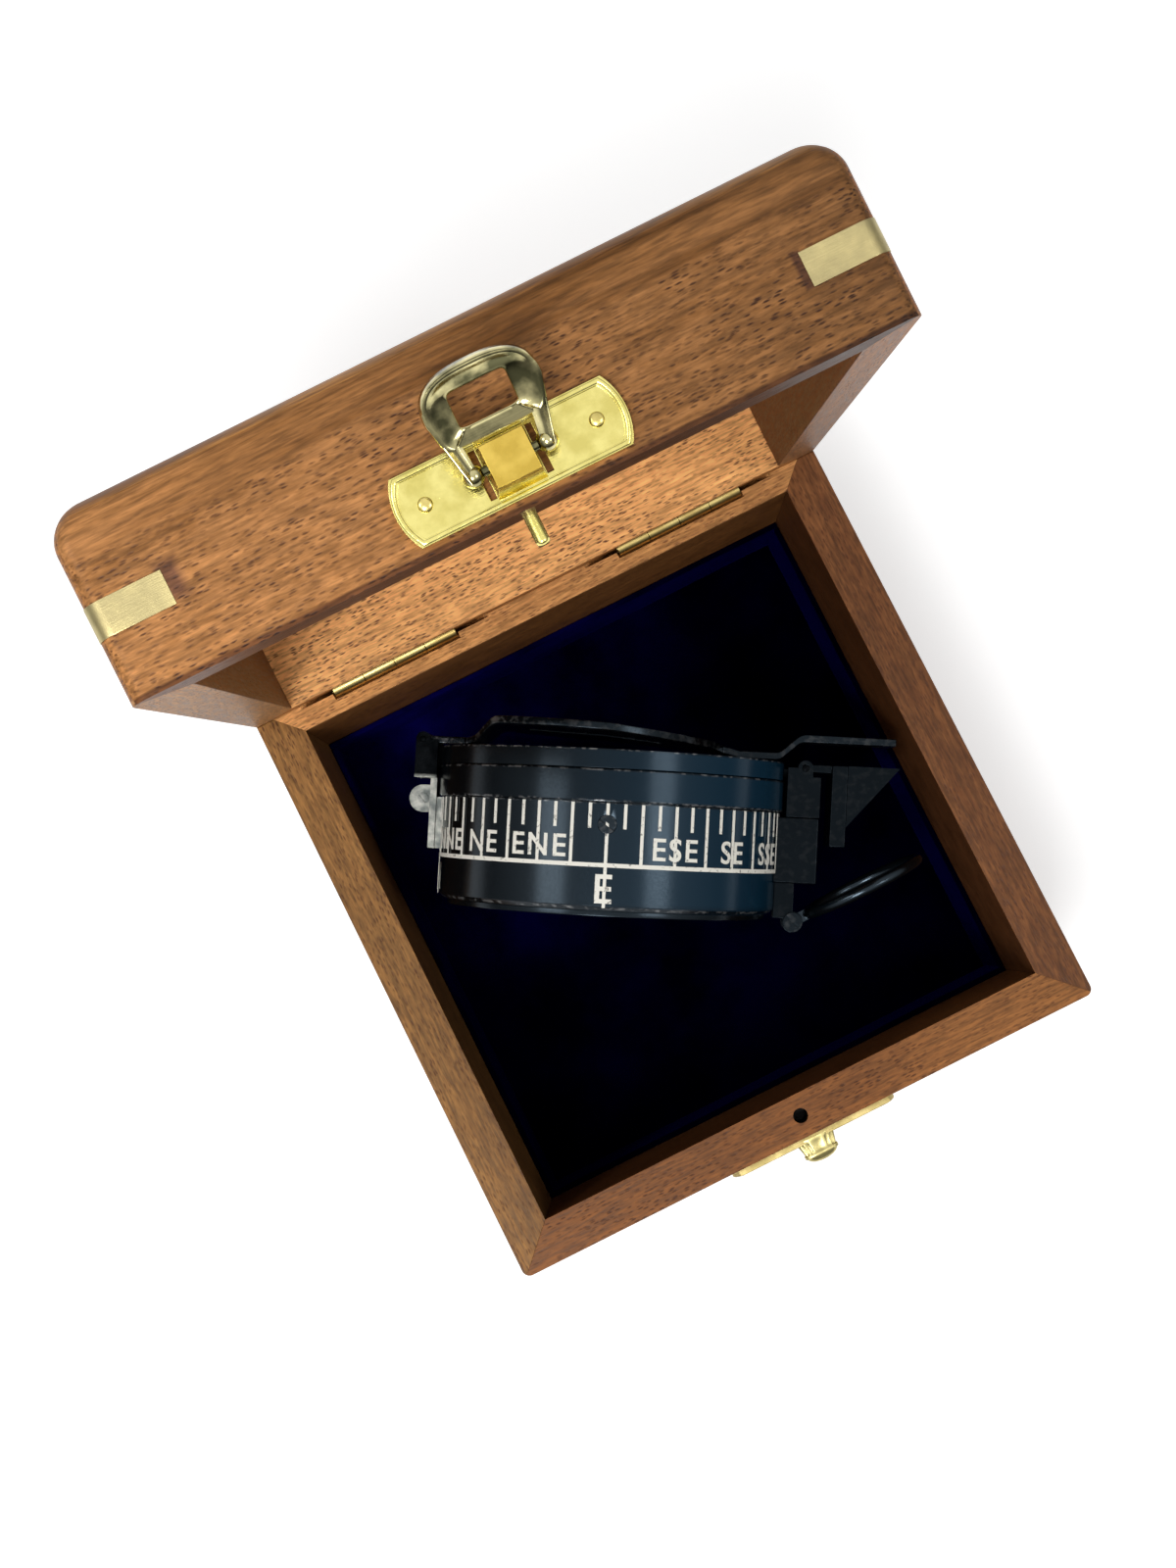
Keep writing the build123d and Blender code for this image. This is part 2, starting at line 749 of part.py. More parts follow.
def make_card():
    """The pivot on the case floor, and the card that turns on it."""
    floor = case_low + case_floor
    foot = disc(pivot_foot_radius, floor, floor + pivot_foot_height)
    post = disc(pivot_radius, floor, floor + pivot_height_in_case)
    tip_low = floor + pivot_height_in_case
    cone = Pos(0, 0, tip_low) * Cone(pivot_radius, pivot_tip, jewel_socket,
                                     align=(Align.CENTER, Align.CENTER, Align.MIN))
    save(stood(foot + post + cone), "card_pivot")
    card_low, jewel_low = tip_low - card_thickness, tip_low
    socket_radius = pivot_radius + 2 * jewel_air
    jewel = disc(jewel_radius, jewel_low, jewel_low + jewel_height)
    jewel -= disc(socket_radius, jewel_low - reach, jewel_low + jewel_socket + jewel_air)
    save(stood(jewel), "card_jewel")
    save(stood(tube(card_radius, card_hole_radius, card_low, jewel_low)), "compass_card")
    bars = []
    for y in (-magnet_offset, magnet_offset):
        low = y - magnet_width / 2
        bars.append(block(-magnet_length / 2, magnet_length / 2, low, low + magnet_width,
                          card_low - magnet_thickness, card_low))
    save(stood(joined(bars)), "card_magnets")


def make_bezel():
    """The turning bezel, its crystal and the ring that holds the crystal."""
    ring = tube(bezel_radius, bezel_lip_radius, bezel_low, bezel_high)
    ring -= disc(spigot_radius + turning_gap, bezel_low - reach, bezel_high - bezel_shoulder)
    save(stood(ring), "bezel_ring")
    crystal_high = ring_low + crystal_thickness
    seat = glass_ring_radius - case_wall
    save(stood(disc(seat - crystal_fit, ring_low, crystal_high)), "bezel_crystal")
    holder = tube(glass_ring_radius, glass_ring_lip_radius, ring_low, ring_high)
    holder -= disc(seat, ring_low - reach, crystal_high)
    neck = tube(glass_ring_radius - case_wall / 2, glass_ring_radius - case_wall, bezel_high, ring_low)
    save(stood(holder + neck), "crystal_ring")


# Sight lid
def leaf_line(offset):
    """One long face of the bent sheet: hinge, raised crown, dip, step, tongue."""
    flat = sight_axis_height() + offset
    crown = flat + leaf_crown
    left, right = leaf_centre - leaf_radius, leaf_centre + leaf_radius
    points = [
        (-sight_hinge_out, flat),
        (left + leaf_lip, flat),
        (left + leaf_lip + leaf_crown, crown),
        (leaf_centre + leaf_lip, crown - leaf_sag),
        (right - leaf_lip, flat + leaf_shoulder),
        (right + leaf_lip, flat),
        (bezel_radius - leaf_lip / 2, flat),
        (bezel_radius + leaf_lip, flat + tongue_step),
        (tongue_tip, flat + tongue_step),
    ]
    return FilletPolyline(*points, radius=leaf_bend)


def leaf_section(thickness):
    """The closed section of the bent sheet."""
    lower = leaf_line(-thickness / 2)
    upper = leaf_line(thickness / 2)
    tip = Line(lower @ 1, upper @ 1)
    end = Line(upper @ 0, lower @ 0)
    return make_face(Wire(lower.edges() + tip.edges() + upper.edges() + end.edges()))


def leaf_solid(thickness, width):
    """The bent sheet at one thickness and width."""
    side_plane = Plane(origin=(0, width / 2, 0), x_dir=(1, 0, 0), z_dir=(0, -1, 0))
    return side_plane * extrude(leaf_section(thickness), width)


def make_sight_lid():
    """The bent lid, its window pane and its hinge pin."""
    low, high = ring_low, ring_high + reach
    plan = Pos(leaf_centre, 0, 0) * disc(leaf_radius, low, high)
    plan += block(leaf_centre, tongue_tip + reach, -tongue_width / 2, tongue_width / 2, low, high)
    half = sight_knuckle_width / 2
    plan += block(-sight_hinge_out, leaf_centre, -half, half, low, high)
    lid = leaf_solid(leaf_sheet, 2 * leaf_radius + leaf_sheet) & plan
    half_x, half_y = window_length / 2, window_width / 2
    window = block(leaf_centre - half_x, leaf_centre + half_x, -half_y, half_y, low, high)
    lid -= window
    lid += rod(sight_knuckle_radius, (-sight_hinge_out, -half, sight_axis_height()), (0, 1, 0), 2 * half)
    lid -= rod(sight_pin_radius + sight_pin_fit, (-sight_hinge_out, -reach, sight_axis_height()),
               (0, 1, 0), 2 * reach)
    save(stood(lid), "sight_lid")
    pane = leaf_solid(window_glass, window_width)
    save(stood(pane & window), "sight_window")
    pin_start = -sight_knuckle_width / 2 - ring_side_gap - lug_thickness
    pin = rod(sight_pin_radius, (-sight_hinge_out, pin_start, sight_axis_height()), (0, 1, 0), -2 * pin_start)
    save(stood(pin), "sight_hinge_pin")


# Prism unit
def make_prism():
    """The bracket on the case, the focus slide, and the hinged prism."""
    half = bracket_width / 2
    bracket = block(case_radius - case_bite, bracket_out, -half, half, bracket_low, bracket_split - slide_gap)
    bracket -= disc(case_radius, 0, ring_high + reach)
    save(stood(bracket), "prism_bracket")
    inner = lug_inner
    slide = block(inner, bracket_out, -half, half, bracket_split, slide_top)
    for side in (-1, 1):
        y = side * (half - prism_cheek / 2)
        slide += block(inner, prism_pin_out + prism_knuckle_radius, y - prism_cheek / 2, y + prism_cheek / 2,
                       slide_top, prism_pin_height)
        slide += rod(prism_knuckle_radius, (prism_pin_out, y - prism_cheek / 2, prism_pin_height),
                     (0, 1, 0), prism_cheek)
    slide -= rod(prism_pin_radius + seat_fit, (prism_pin_out, -reach, prism_pin_height), (0, 1, 0), 2 * reach)
    save(stood(slide), "prism_slide")
    pin = rod(prism_pin_radius, (prism_pin_out, -half, prism_pin_height), (0, 1, 0), bracket_width)
    save(stood(pin), "prism_hinge_pin")
    make_prism_leaf()


def prism_section(inset):
    """The prism's right triangle, point outwards, drawn in by a margin."""
    top = prism_pin_height + prism_sheet / 2 - inset
    inner = prism_plate_out + inset
    slope = (prism_reach - prism_plate_out) / (prism_pin_height - prism_foot)
    apex = prism_reach - inset * (1 + sqrt(1 + slope * slope)) if inset else prism_reach
    foot = prism_foot + (inset * (1 + sqrt(1 + slope * slope)) / slope if inset else 0)
    return Polygon((inner, foot), (apex, top), (inner, top), align=None)


def make_prism_leaf():
    """The hinged plate with its sight slot, the prism's housing and its glass."""
    knuckle = bracket_width - 2 * prism_cheek - 2 * ring_side_gap
    side_plane = Plane(origin=(0, prism_plate_width / 2, 0), x_dir=(1, 0, 0), z_dir=(0, -1, 0))
    top = prism_pin_height + prism_sheet / 2
    plate = block(prism_plate_in, prism_plate_out, -prism_plate_width / 2, prism_plate_width / 2,
                  prism_plate_low, top)
    plate += block(prism_pin_out, prism_plate_out, -knuckle / 2, knuckle / 2,
                   prism_pin_height - prism_sheet / 2, top)
    plate += rod(prism_knuckle_radius, (prism_pin_out, -knuckle / 2, prism_pin_height), (0, 1, 0), knuckle)
    plate -= rod(prism_pin_radius + prism_pin_fit, (prism_pin_out, -reach, prism_pin_height),
                 (0, 1, 0), 2 * reach)
    plate -= block(prism_plate_in - reach, prism_plate_out + reach, -sight_slot_width / 2,
                   sight_slot_width / 2, prism_plate_low - reach, prism_plate_low + sight_slot_length)
    save(stood(plate), "prism_plate")
    shell = side_plane * extrude(prism_section(0), prism_plate_width)
    core_width = prism_plate_width - 2 * prism_cheek
    core_plane = Plane(origin=(0, core_width / 2, 0), x_dir=(1, 0, 0), z_dir=(0, -1, 0))
    core = core_plane * extrude(prism_section(prism_cheek), core_width)
    eye = rod(eye_radius, (prism_plate_out + eye_out, 0, top - prism_cheek), (0, 0, 1), reach)
    save(stood(shell - core - eye), "prism_housing")
    glass_width = core_width - 2 * crystal_fit
    glass_plane = Plane(origin=(0, glass_width / 2, 0), x_dir=(1, 0, 0), z_dir=(0, -1, 0))
    save(stood(glass_plane * extrude(prism_section(prism_cheek + crystal_fit), glass_width)), "prism_glass")


# Thumb ring
def make_thumb_ring():
    """The wire ring, the lug that it turns on and the lug's slotted screw."""
    y_low = -ring_eye_width / 2
    neck = ring_lug_radius + ring_neck_gap + ring_wire_radius
    wire = Pos(neck + ring_middle_radius, 0, 0) * Torus(ring_middle_radius, ring_wire_radius)
    eye = rod(ring_eye_radius, (0, y_low, 0), (0, 1, 0), ring_eye_width)
    eye += block(0, neck, y_low, -y_low, -ring_wire_radius, ring_wire_radius)
    ring = wire + eye - rod(ring_screw_radius + ring_screw_fit, (0, -reach, 0), (0, 1, 0), 2 * reach)
    place = Pos(ring_hinge_out, 0, ring_hinge_height) * Rot(0, -ring_raise, 0)
    save(stood(place * ring), "thumb_ring")
    lug_wall = (ring_lug_width - ring_eye_width) / 2 - ring_side_gap
    lug = None
    for side in (-1, 1):
        y = side * (ring_lug_width - lug_wall) / 2
        start = (ring_hinge_out, y - lug_wall / 2, ring_hinge_height)
        cheek = rod(ring_lug_radius, start, (0, 1, 0), lug_wall)
        cheek += block(case_radius - case_bite, ring_hinge_out, y - lug_wall / 2, y + lug_wall / 2,
                       ring_hinge_height + ring_cheek_lift, bracket_low)
        lug = cheek if lug is None else lug + cheek
    base = block(case_radius - case_bite, ring_hinge_out, -ring_lug_width / 2, ring_lug_width / 2,
                 ring_hinge_height + ring_lug_radius + ring_base_gap, bracket_low)
    lug = lug + base - disc(case_radius, -reach, ring_high)
    lug -= rod(ring_screw_radius + seat_fit, (ring_hinge_out, -reach, ring_hinge_height), (0, 1, 0), 2 * reach)
    save(stood(lug), "ring_lug")
    start = (ring_hinge_out, -ring_lug_width / 2 - ring_screw_head_height, ring_hinge_height)
    screw = rod(ring_screw_head, start, (0, 1, 0), ring_screw_head_height)
    screw += rod(ring_screw_radius, start, (0, 1, 0), ring_lug_width + ring_screw_head_height)
    screw -= Pos(*start) * Rot(0, ring_screw_turn, 0) * Box(reach, 2 * case_screw_slot, case_screw_slot)
    save(stood(screw), "ring_screw")


os.makedirs("parts", exist_ok=True)
make_wood()
make_velvet()
make_hinges()
make_latch()
make_case()
make_card()
make_bezel()
make_sight_lid()
make_prism()
make_thumb_ring()
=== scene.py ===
import json
from math import atan, cos, pi, radians, sin, tau

import bpy
from mathutils import Euler, Matrix, Vector


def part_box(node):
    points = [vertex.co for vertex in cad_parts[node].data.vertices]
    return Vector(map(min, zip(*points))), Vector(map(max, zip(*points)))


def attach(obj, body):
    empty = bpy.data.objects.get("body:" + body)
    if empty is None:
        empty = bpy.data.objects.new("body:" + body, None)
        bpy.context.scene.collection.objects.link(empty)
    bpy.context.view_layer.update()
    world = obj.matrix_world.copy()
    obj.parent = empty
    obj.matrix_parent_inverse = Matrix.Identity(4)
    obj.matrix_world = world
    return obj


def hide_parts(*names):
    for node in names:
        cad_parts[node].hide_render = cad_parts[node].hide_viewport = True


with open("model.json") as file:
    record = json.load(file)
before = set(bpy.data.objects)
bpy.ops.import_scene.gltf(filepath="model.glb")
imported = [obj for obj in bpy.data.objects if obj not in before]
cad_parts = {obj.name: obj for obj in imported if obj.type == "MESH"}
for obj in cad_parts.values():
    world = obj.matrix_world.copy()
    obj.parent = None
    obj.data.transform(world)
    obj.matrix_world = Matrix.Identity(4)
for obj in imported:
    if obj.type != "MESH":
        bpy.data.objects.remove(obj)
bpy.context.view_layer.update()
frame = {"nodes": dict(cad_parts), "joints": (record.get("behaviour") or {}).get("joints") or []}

# Camera. It looks almost straight down into the open box, turned a little
# about its own line of sight.
mm = 0.001
eye = Vector((-12.085, -9.712, 398.84)) * mm
target = Vector((-7.181, 16.705, 48.0)) * mm
camera_roll = radians(-16.07)
bpy.ops.object.camera_add(location=eye)
camera = bpy.context.object
sight = (target - eye).to_track_quat("-Z", "Y")
camera.rotation_euler = (sight @ Euler((0, 0, camera_roll)).to_quaternion()).to_euler()
camera.data.sensor_fit = "VERTICAL"
camera.data.sensor_height = 36.0
camera.data.lens = 46.04
bpy.context.scene.camera = camera
bpy.context.scene.view_settings.view_transform = "Standard"


# Floor, lamps and sky. The floor is a plain white sheet of card, and three soft
# lamps hang over it under an even pale sky. Polished metal mirrors a sky that
# is darker in front of the box and near the horizon, as a room is.
def put(tree, kind, inputs, **settings):
    """Adds a shader node. Each input is a plain value or another node's output."""
    node = tree.nodes.new("ShaderNode" + kind)
    for key, value in settings.items():
        setattr(node, key, value)
    for key, value in inputs.items():
        if isinstance(value, bpy.types.NodeSocket):
            tree.links.new(value, node.inputs[key])
        else:
            node.inputs[key].default_value = value
    return node


def new_material(name):
    """A material with its tree and its one Principled shader."""
    material = bpy.data.materials.new(name)
    material.use_nodes = True
    return material, material.node_tree, material.node_tree.nodes["Principled BSDF"]


def span(tree, value, low, high, start=0.0, end=1.0):
    """A value moved from one range to another and held inside it."""
    return put(tree, "MapRange", {0: value, 1: low, 2: high, 3: start, 4: end}).outputs[0]


def greater(tree, one, two):
    """The larger of two values."""
    return put(tree, "Math", {0: one, 1: two}, operation="MAXIMUM").outputs[0]


def times(tree, one, two):
    """The product of two values."""
    return put(tree, "Math", {0: one, 1: two}, operation="MULTIPLY").outputs[0]


floor_tone = 0.86
floor_shine = 0.45
bpy.ops.mesh.primitive_plane_add(size=6, location=(0, 0, -0.2 * mm))
floor = bpy.context.object
floor.name = "floor_card"
floor_white, floor_tree, floor_shader = new_material("floor_card")
floor_shader.inputs["Base Color"].default_value = (floor_tone, floor_tone, floor_tone, 1)
floor_shader.inputs["Roughness"].default_value = 0.9
floor_shader.inputs["Emission Color"].default_value = (1, 1, 1, 1)
floor_path = put(floor_tree, "LightPath", {}).outputs
floor_seen = greater(floor_tree, floor_path["Is Camera Ray"], floor_path["Is Transmission Ray"])
floor_seen = greater(floor_tree, floor_seen, floor_path["Is Glossy Ray"])
floor_glow = span(floor_tree, floor_seen, 0, 1, 0, floor_shine)
floor_tree.links.new(floor_glow, floor_shader.inputs["Emission Strength"])
floor.data.materials.append(floor_white)

world = bpy.data.worlds.new("sky")
bpy.context.scene.world = world
world.use_nodes = True
sky_tree = world.node_tree
sky_path = put(sky_tree, "LightPath", {}).outputs
sky_way = put(sky_tree, "SeparateXYZ", {0: put(sky_tree, "TexCoord", {}).outputs["Generated"]}).outputs
room_front = span(sky_tree, sky_way["Y"], -0.93, -0.5, 0.22, 1.0)
room_low = span(sky_tree, sky_way["Z"], 0.12, 0.72, 0.2, 1.0)
room_shade = times(sky_tree, room_front, room_low)
sky_light = 0.32
sky_mirrored = span(sky_tree, sky_path["Is Glossy Ray"], 0, 1, sky_light, room_shade)
sky_seen = greater(sky_tree, sky_path["Is Camera Ray"], sky_path["Is Transmission Ray"])
sky_strength = span(sky_tree, sky_seen, 0, 1, sky_mirrored, 1.0)
sky = sky_tree.nodes["Background"]
sky.inputs["Color"].default_value = (1, 1, 1, 1)
sky_tree.links.new(sky_strength, sky.inputs["Strength"])

box_middle = Vector((0, 0, 0.05))
for lamp_name, lamp_place, lamp_size, lamp_power in (
    ("key_lamp", (-0.28, -0.3, 0.88), 0.3, 4.3),
    ("left_lamp", (-0.5, 0.27, 0.78), 0.3, 1.4),
    ("right_lamp", (0.46, -0.24, 0.82), 0.26, 1.3),
):
    bpy.ops.object.light_add(type="AREA", location=lamp_place)
    lamp = bpy.context.object
    lamp.name = lamp_name
    lamp.data.size = lamp_size
    lamp.data.energy = lamp_power
    aim = box_middle - Vector(lamp_place)
    lamp.rotation_euler = aim.to_track_quat("-Z", "Y").to_euler()


# Walls of the base. Four boards of oiled brown hardwood, mitred at the corners,
# with their sharp edges eased by sanding.
def group_tree(name, inputs, outputs):
    """A shader node group with its named sockets, and its inlet and outlet nodes."""
    tree = bpy.data.node_groups.new(name, "ShaderNodeTree")
    for label, kind in inputs:
        tree.interface.new_socket(label, in_out="INPUT", socket_type="NodeSocket" + kind)
    for label, kind in outputs:
        tree.interface.new_socket(label, in_out="OUTPUT", socket_type="NodeSocket" + kind)
    return tree, tree.nodes.new("NodeGroupInput").outputs, tree.nodes.new("NodeGroupOutput").inputs


def use_group(tree, group, inputs):
    """Places a node group in a material and returns its outputs."""
    node = tree.nodes.new("ShaderNodeGroup")
    node.node_tree = group
    for key, value in inputs.items():
        if isinstance(value, bpy.types.NodeSocket):
            tree.links.new(value, node.inputs[key])
        else:
            node.inputs[key].default_value = value
    return node.outputs


def stretched(tree, place, scale):
    """A position multiplied along each axis."""
    return put(tree, "VectorMath", {0: place, 1: scale}, operation="MULTIPLY").outputs[0]


def clouds(tree, place, scale, detail=3.0, distortion=0.0):
    """A soft noise value on a stretched position."""
    inputs = {"Vector": stretched(tree, place, scale), "Scale": 1.0}
    inputs["Detail"] = detail
    inputs["Distortion"] = distortion
    return put(tree, "TexNoise", inputs).outputs["Fac"]


def plus(tree, one, two):
    """The sum of two values."""
    return put(tree, "Math", {0: one, 1: two}, operation="ADD").outputs[0]


def mixed(tree, share, one, two, mode="MIX"):
    """Two colours mixed by a share."""
    inputs = {0: share, 6: one, 7: two}
    return put(tree, "Mix", inputs, data_type="RGBA", blend_type=mode).outputs[2]


def scaled(tree, vector, factor):
    """A colour or a vector multiplied by one value."""
    return put(tree, "VectorMath", {0: vector, "Scale": factor}, operation="SCALE").outputs[0]


def parts_of(tree, vector):
    """The X, Y and Z of a position."""
    return put(tree, "SeparateXYZ", {0: vector}).outputs


def object_place(tree):
    """The place on the object of the point that is shaded."""
    return put(tree, "TexCoord", {}).outputs["Object"]


def relief(tree, shader, height, strength, distance):
    """Links a height to the shader as bump, with its distance in millimetres."""
    bump = put(tree, "Bump", {"Height": height, "Strength": strength, "Distance": distance * mm})
    tree.links.new(bump.outputs[0], shader.inputs["Normal"])


wood_grain, wood_in, wood_out = group_tree(
    "wood_grain",
    [
        ("Vector", "Vector"),
        ("Pale", "Color"),
        ("Dark", "Color"),
        ("Pore", "Color"),
        ("Pores", "Float"),
        ("Figure", "Float"),
    ],
    [("Color", "Color"), ("Roughness", "Float"), ("Height", "Float")],
)
wood_place = wood_in["Vector"]
streak_share = 0.3
band_share = 0.28
fleck_share = 0.42
pore_stretch = (640, 2500, 2500)
pore_wander = (0.6 * mm, 0.3 * mm, 0.3 * mm)
wood_streak = span(wood_grain, clouds(wood_grain, wood_place, (14, 260, 260), 6, 0.6), 0.34, 0.66)
wood_band = span(wood_grain, clouds(wood_grain, wood_place, (5, 55, 55), 3, 0.3), 0.36, 0.62)
wood_fibre = clouds(wood_grain, wood_place, (240, 2300, 2300), 5, 0.3)
wood_fleck = span(wood_grain, clouds(wood_grain, wood_place, (380, 1300, 1300), 5, 0.4), 0.38, 0.62)
wood_tone = times(wood_grain, wood_streak, streak_share)
wood_tone = plus(wood_grain, wood_tone, times(wood_grain, wood_band, band_share))
wood_tone = plus(wood_grain, wood_tone, times(wood_grain, wood_fleck, fleck_share))
wood_figure = span(wood_grain, clouds(wood_grain, wood_place, (20, 360, 360), 6, 0.4), 0.34, 0.64)
wood_tone = span(wood_grain, wood_in["Figure"], 0, 1, wood_tone, wood_figure)
wood_wander = scaled(wood_grain, pore_wander, clouds(wood_grain, wood_place, (500, 500, 500), 2))
wood_moved = put(wood_grain, "VectorMath", {0: wood_place, 1: wood_wander}, operation="ADD").outputs[0]
wood_moved = stretched(wood_grain, wood_moved, pore_stretch)
wood_cells = put(wood_grain, "TexVoronoi", {"Vector": wood_moved, "Scale": 1.0})
wood_chance = put(wood_grain, "SeparateColor", {0: wood_cells.outputs["Color"]}).outputs[0]
wood_cluster = span(wood_grain, clouds(wood_grain, wood_place, (60, 200, 200), 3), 0.3, 0.6, 0.25, 1.0)
wood_dash = span(wood_grain, wood_cells.outputs["Distance"], 0.2, 0.46, 1.0, 0.0)
wood_some = span(wood_grain, wood_chance, 0.1, 0.35)
wood_pore = times(wood_grain, wood_dash, wood_some)
wood_pore = times(wood_grain, wood_pore, times(wood_grain, wood_cluster, wood_in["Pores"]))
wood_colour = mixed(wood_grain, wood_tone, wood_in["Dark"], wood_in["Pale"])
wood_light = span(wood_grain, wood_fibre, 0.34, 0.66, 0.66, 1.34)
wood_broad = span(wood_grain, clouds(wood_grain, wood_place, (9, 34, 34), 2, 0.4), 0.3, 0.7, 0.8, 1.2)
wood_lit = scaled(wood_grain, wood_colour, times(wood_grain, wood_light, wood_broad))
wood_grain.links.new(mixed(wood_grain, wood_pore, wood_lit, wood_in["Pore"]), wood_out["Color"])
wood_grain.links.new(span(wood_grain, wood_fibre, 0.3, 0.7, 0.36, 0.54), wood_out["Roughness"])
wood_relief = plus(wood_grain, times(wood_grain, wood_fibre, 0.35), times(wood_grain, wood_pore, -0.9))
wood_grain.links.new(wood_relief, wood_out["Height"])
wood_pore_brown = (0.08, 0.026, 0.009, 1)
hinge_line = Vector((0, 51.7, 48.075)) * mm
lid_turn = Matrix.Rotation(radians(85), 4, "X")
shutting = Matrix.Translation(hinge_line) @ lid_turn @ Matrix.Translation(-hinge_line)
opening = shutting.inverted()


def within(tree, place, low, high, soft):
    """A mask that is 1 inside a box given in millimetres and fades out round it."""
    middle = (Vector(low) + Vector(high)) / 2 * mm
    half = (Vector(high) - Vector(low)) / 2 * mm
    away = put(tree, "VectorMath", {0: place, 1: middle}, operation="SUBTRACT").outputs[0]
    away = put(tree, "VectorMath", {0: away}, operation="ABSOLUTE").outputs[0]
    away = put(tree, "VectorMath", {0: away, 1: half}, operation="SUBTRACT").outputs[0]
    across, along, up = list(parts_of(tree, away))
    farthest = greater(tree, greater(tree, across, along), up)
    return span(tree, farthest, 0, soft * mm, 1, 0)


def wood_finish(
    name, turn, shift, tones, pores=0.85, figure=0.0, opened=False, shades=(), painted_falloff=1.0, band=0.0
):
    """Oiled wood with its grain along X before it is turned.

    Shades are tinted boxes in the shut box: filler patches, and painted light and painted shade.
    The wood is painted darker towards its right end by the given fall-off, a painted fall-off of light.
    Above the band's height, in millimetres, the board shows its smoother figure.
    """
    material, tree, shader = new_material(name)
    place = object_place(tree)
    if opened:
        inputs = {"Vector": place, "Rotation": shutting.to_euler(), "Location": shutting.translation}
        place = put(tree, "Mapping", inputs).outputs[0]
    along = put(tree, "Mapping", {"Vector": place, "Rotation": turn, "Location": shift}).outputs[0]
    pale, dark = tones
    inputs = {"Vector": along, "Pale": pale, "Dark": dark, "Pore": wood_pore_brown}
    inputs["Pores"] = pores
    inputs["Figure"] = figure
    if band:
        edge_wander = times(tree, clouds(tree, place, (40, 40, 40), 2), 4 * mm)
        edge = plus(tree, parts_of(tree, place)["Z"], edge_wander)
        share = span(tree, edge, (band + 1.6) * mm, (band + 2.4) * mm)
        inputs["Figure"] = span(tree, share, 0, 1, figure, 0.85)
        inputs["Pores"] = span(tree, share, 0, 1, pores, 0.15)
    grain = use_group(tree, wood_grain, inputs)
    colour = grain["Color"]
    for low, high, soft, shade in shades:
        mask = within(tree, place, low, high, soft)
        colour = mixed(tree, mask, colour, mixed(tree, 1.0, colour, shade, "MULTIPLY"))
    if painted_falloff != 1.0:
        light = span(tree, parts_of(tree, place)["X"], -50 * mm, 55 * mm, 1.0, painted_falloff)
        colour = scaled(tree, colour, light)
    tree.links.new(colour, shader.inputs["Base Color"])
    tree.links.new(grain["Roughness"], shader.inputs["Roughness"])
    relief(tree, shader, grain["Height"], 0.35, 0.12)
    shader.inputs["Specular IOR Level"].default_value = 0.16
    shader.inputs["Coat Weight"].default_value = 0.04
    shader.inputs["Coat Roughness"].default_value = 0.3
    return material


nodes = frame["nodes"]
sharp_edge = radians(32)


def eased(name, body, material, width):
    """A copy of a frame node with its sharp edges rounded over, which stands for it.

    The width is in millimetres. The copy is left selected and active.
    """
    bpy.ops.object.select_all(action="DESELECT")
    piece = bpy.data.objects.new(name + "_eased", nodes[name].data.copy())
    bpy.context.collection.objects.link(piece)
    bpy.context.view_layer.objects.active = piece
    piece.select_set(True)
    bpy.ops.object.mode_set(mode="EDIT")
    bpy.ops.mesh.select_all(action="SELECT")
    bpy.ops.mesh.remove_doubles(threshold=0.002 * mm)
    bpy.ops.mesh.dissolve_limited(angle_limit=radians(0.6))
    bpy.ops.object.mode_set(mode="OBJECT")
    rounding = piece.modifiers.new("rounding", "BEVEL")
    rounding.width = width * mm
    rounding.segments = 2
    rounding.limit_method = "ANGLE"
    rounding.angle_limit = sharp_edge
    bpy.ops.object.modifier_apply(modifier=rounding.name)
    bpy.ops.object.shade_smooth_by_angle(angle=sharp_edge)
    flattening = piece.modifiers.new("flattening", "WEIGHTED_NORMAL")
    flattening.keep_sharp = True
    bpy.ops.object.modifier_apply(modifier=flattening.name)
    piece.data.materials.clear()
    piece.data.materials.append(material)
    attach(piece, body)
    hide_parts(name)
    return piece


side_turns = {"front": 0.0, "back": 0.0, "left": 90.0, "right": 90.0}
side_shifts = {"front": 0.3, "back": 1.1, "left": 2.2, "right": 3.4}
# The boards are one wood. The back board's tones are painted lighter and the right board's darker, as painted
# light and painted shade.
base_tones = {
    "front": ((0.34, 0.137, 0.038, 1), (0.21, 0.078, 0.021, 1)),
    "back": ((0.42, 0.18, 0.052, 1), (0.24, 0.09, 0.025, 1)),
    "left": ((0.34, 0.165, 0.047, 1), (0.17, 0.074, 0.021, 1)),
    "right": ((0.21, 0.082, 0.027, 1), (0.1, 0.034, 0.011, 1)),
}
# The back rim, under the standing lid, is painted lighter: painted light.
painted_light_back_rim = ((-60, 40, 47.2), (60, 60, 52), 0.3, (1.85, 2.1, 2.5, 1))
# The inside of the pin hole is painted near black: painted shade.
pin_hole_painted_shade = ((-1.35, -52.6, 30), (1.35, -49.9, 47.5), 0.1, (0.03, 0.03, 0.03, 1))
# The front board is darker towards its left end and middle.
darker_front_left = ((-60, -60, 40), (12, -40, 50), 22.0, (0.66, 0.6, 0.56, 1))
# The inner faces of the walls are painted dark: painted shade inside the box.
painted_shade_inside = ((-47.3, -47.3, 4), (47.3, 47.3, 47.2), 0.5, (0.3, 0.26, 0.26, 1))
base_shades = {
    "front": (painted_shade_inside, pin_hole_painted_shade, darker_front_left),
    "back": (painted_shade_inside, painted_light_back_rim),
}
for side in side_turns:
    turn = (0, 0, radians(side_turns[side]))
    shift = (side_shifts[side], side_shifts[side], 0)
    name = "base_" + side + "_board"
    shades = base_shades.get(side, (painted_shade_inside,))
    board = wood_finish(name, turn, shift, base_tones[side], figure=0.15, shades=shades)
    eased("base_" + side + "_wall", "base", board, 0.25)

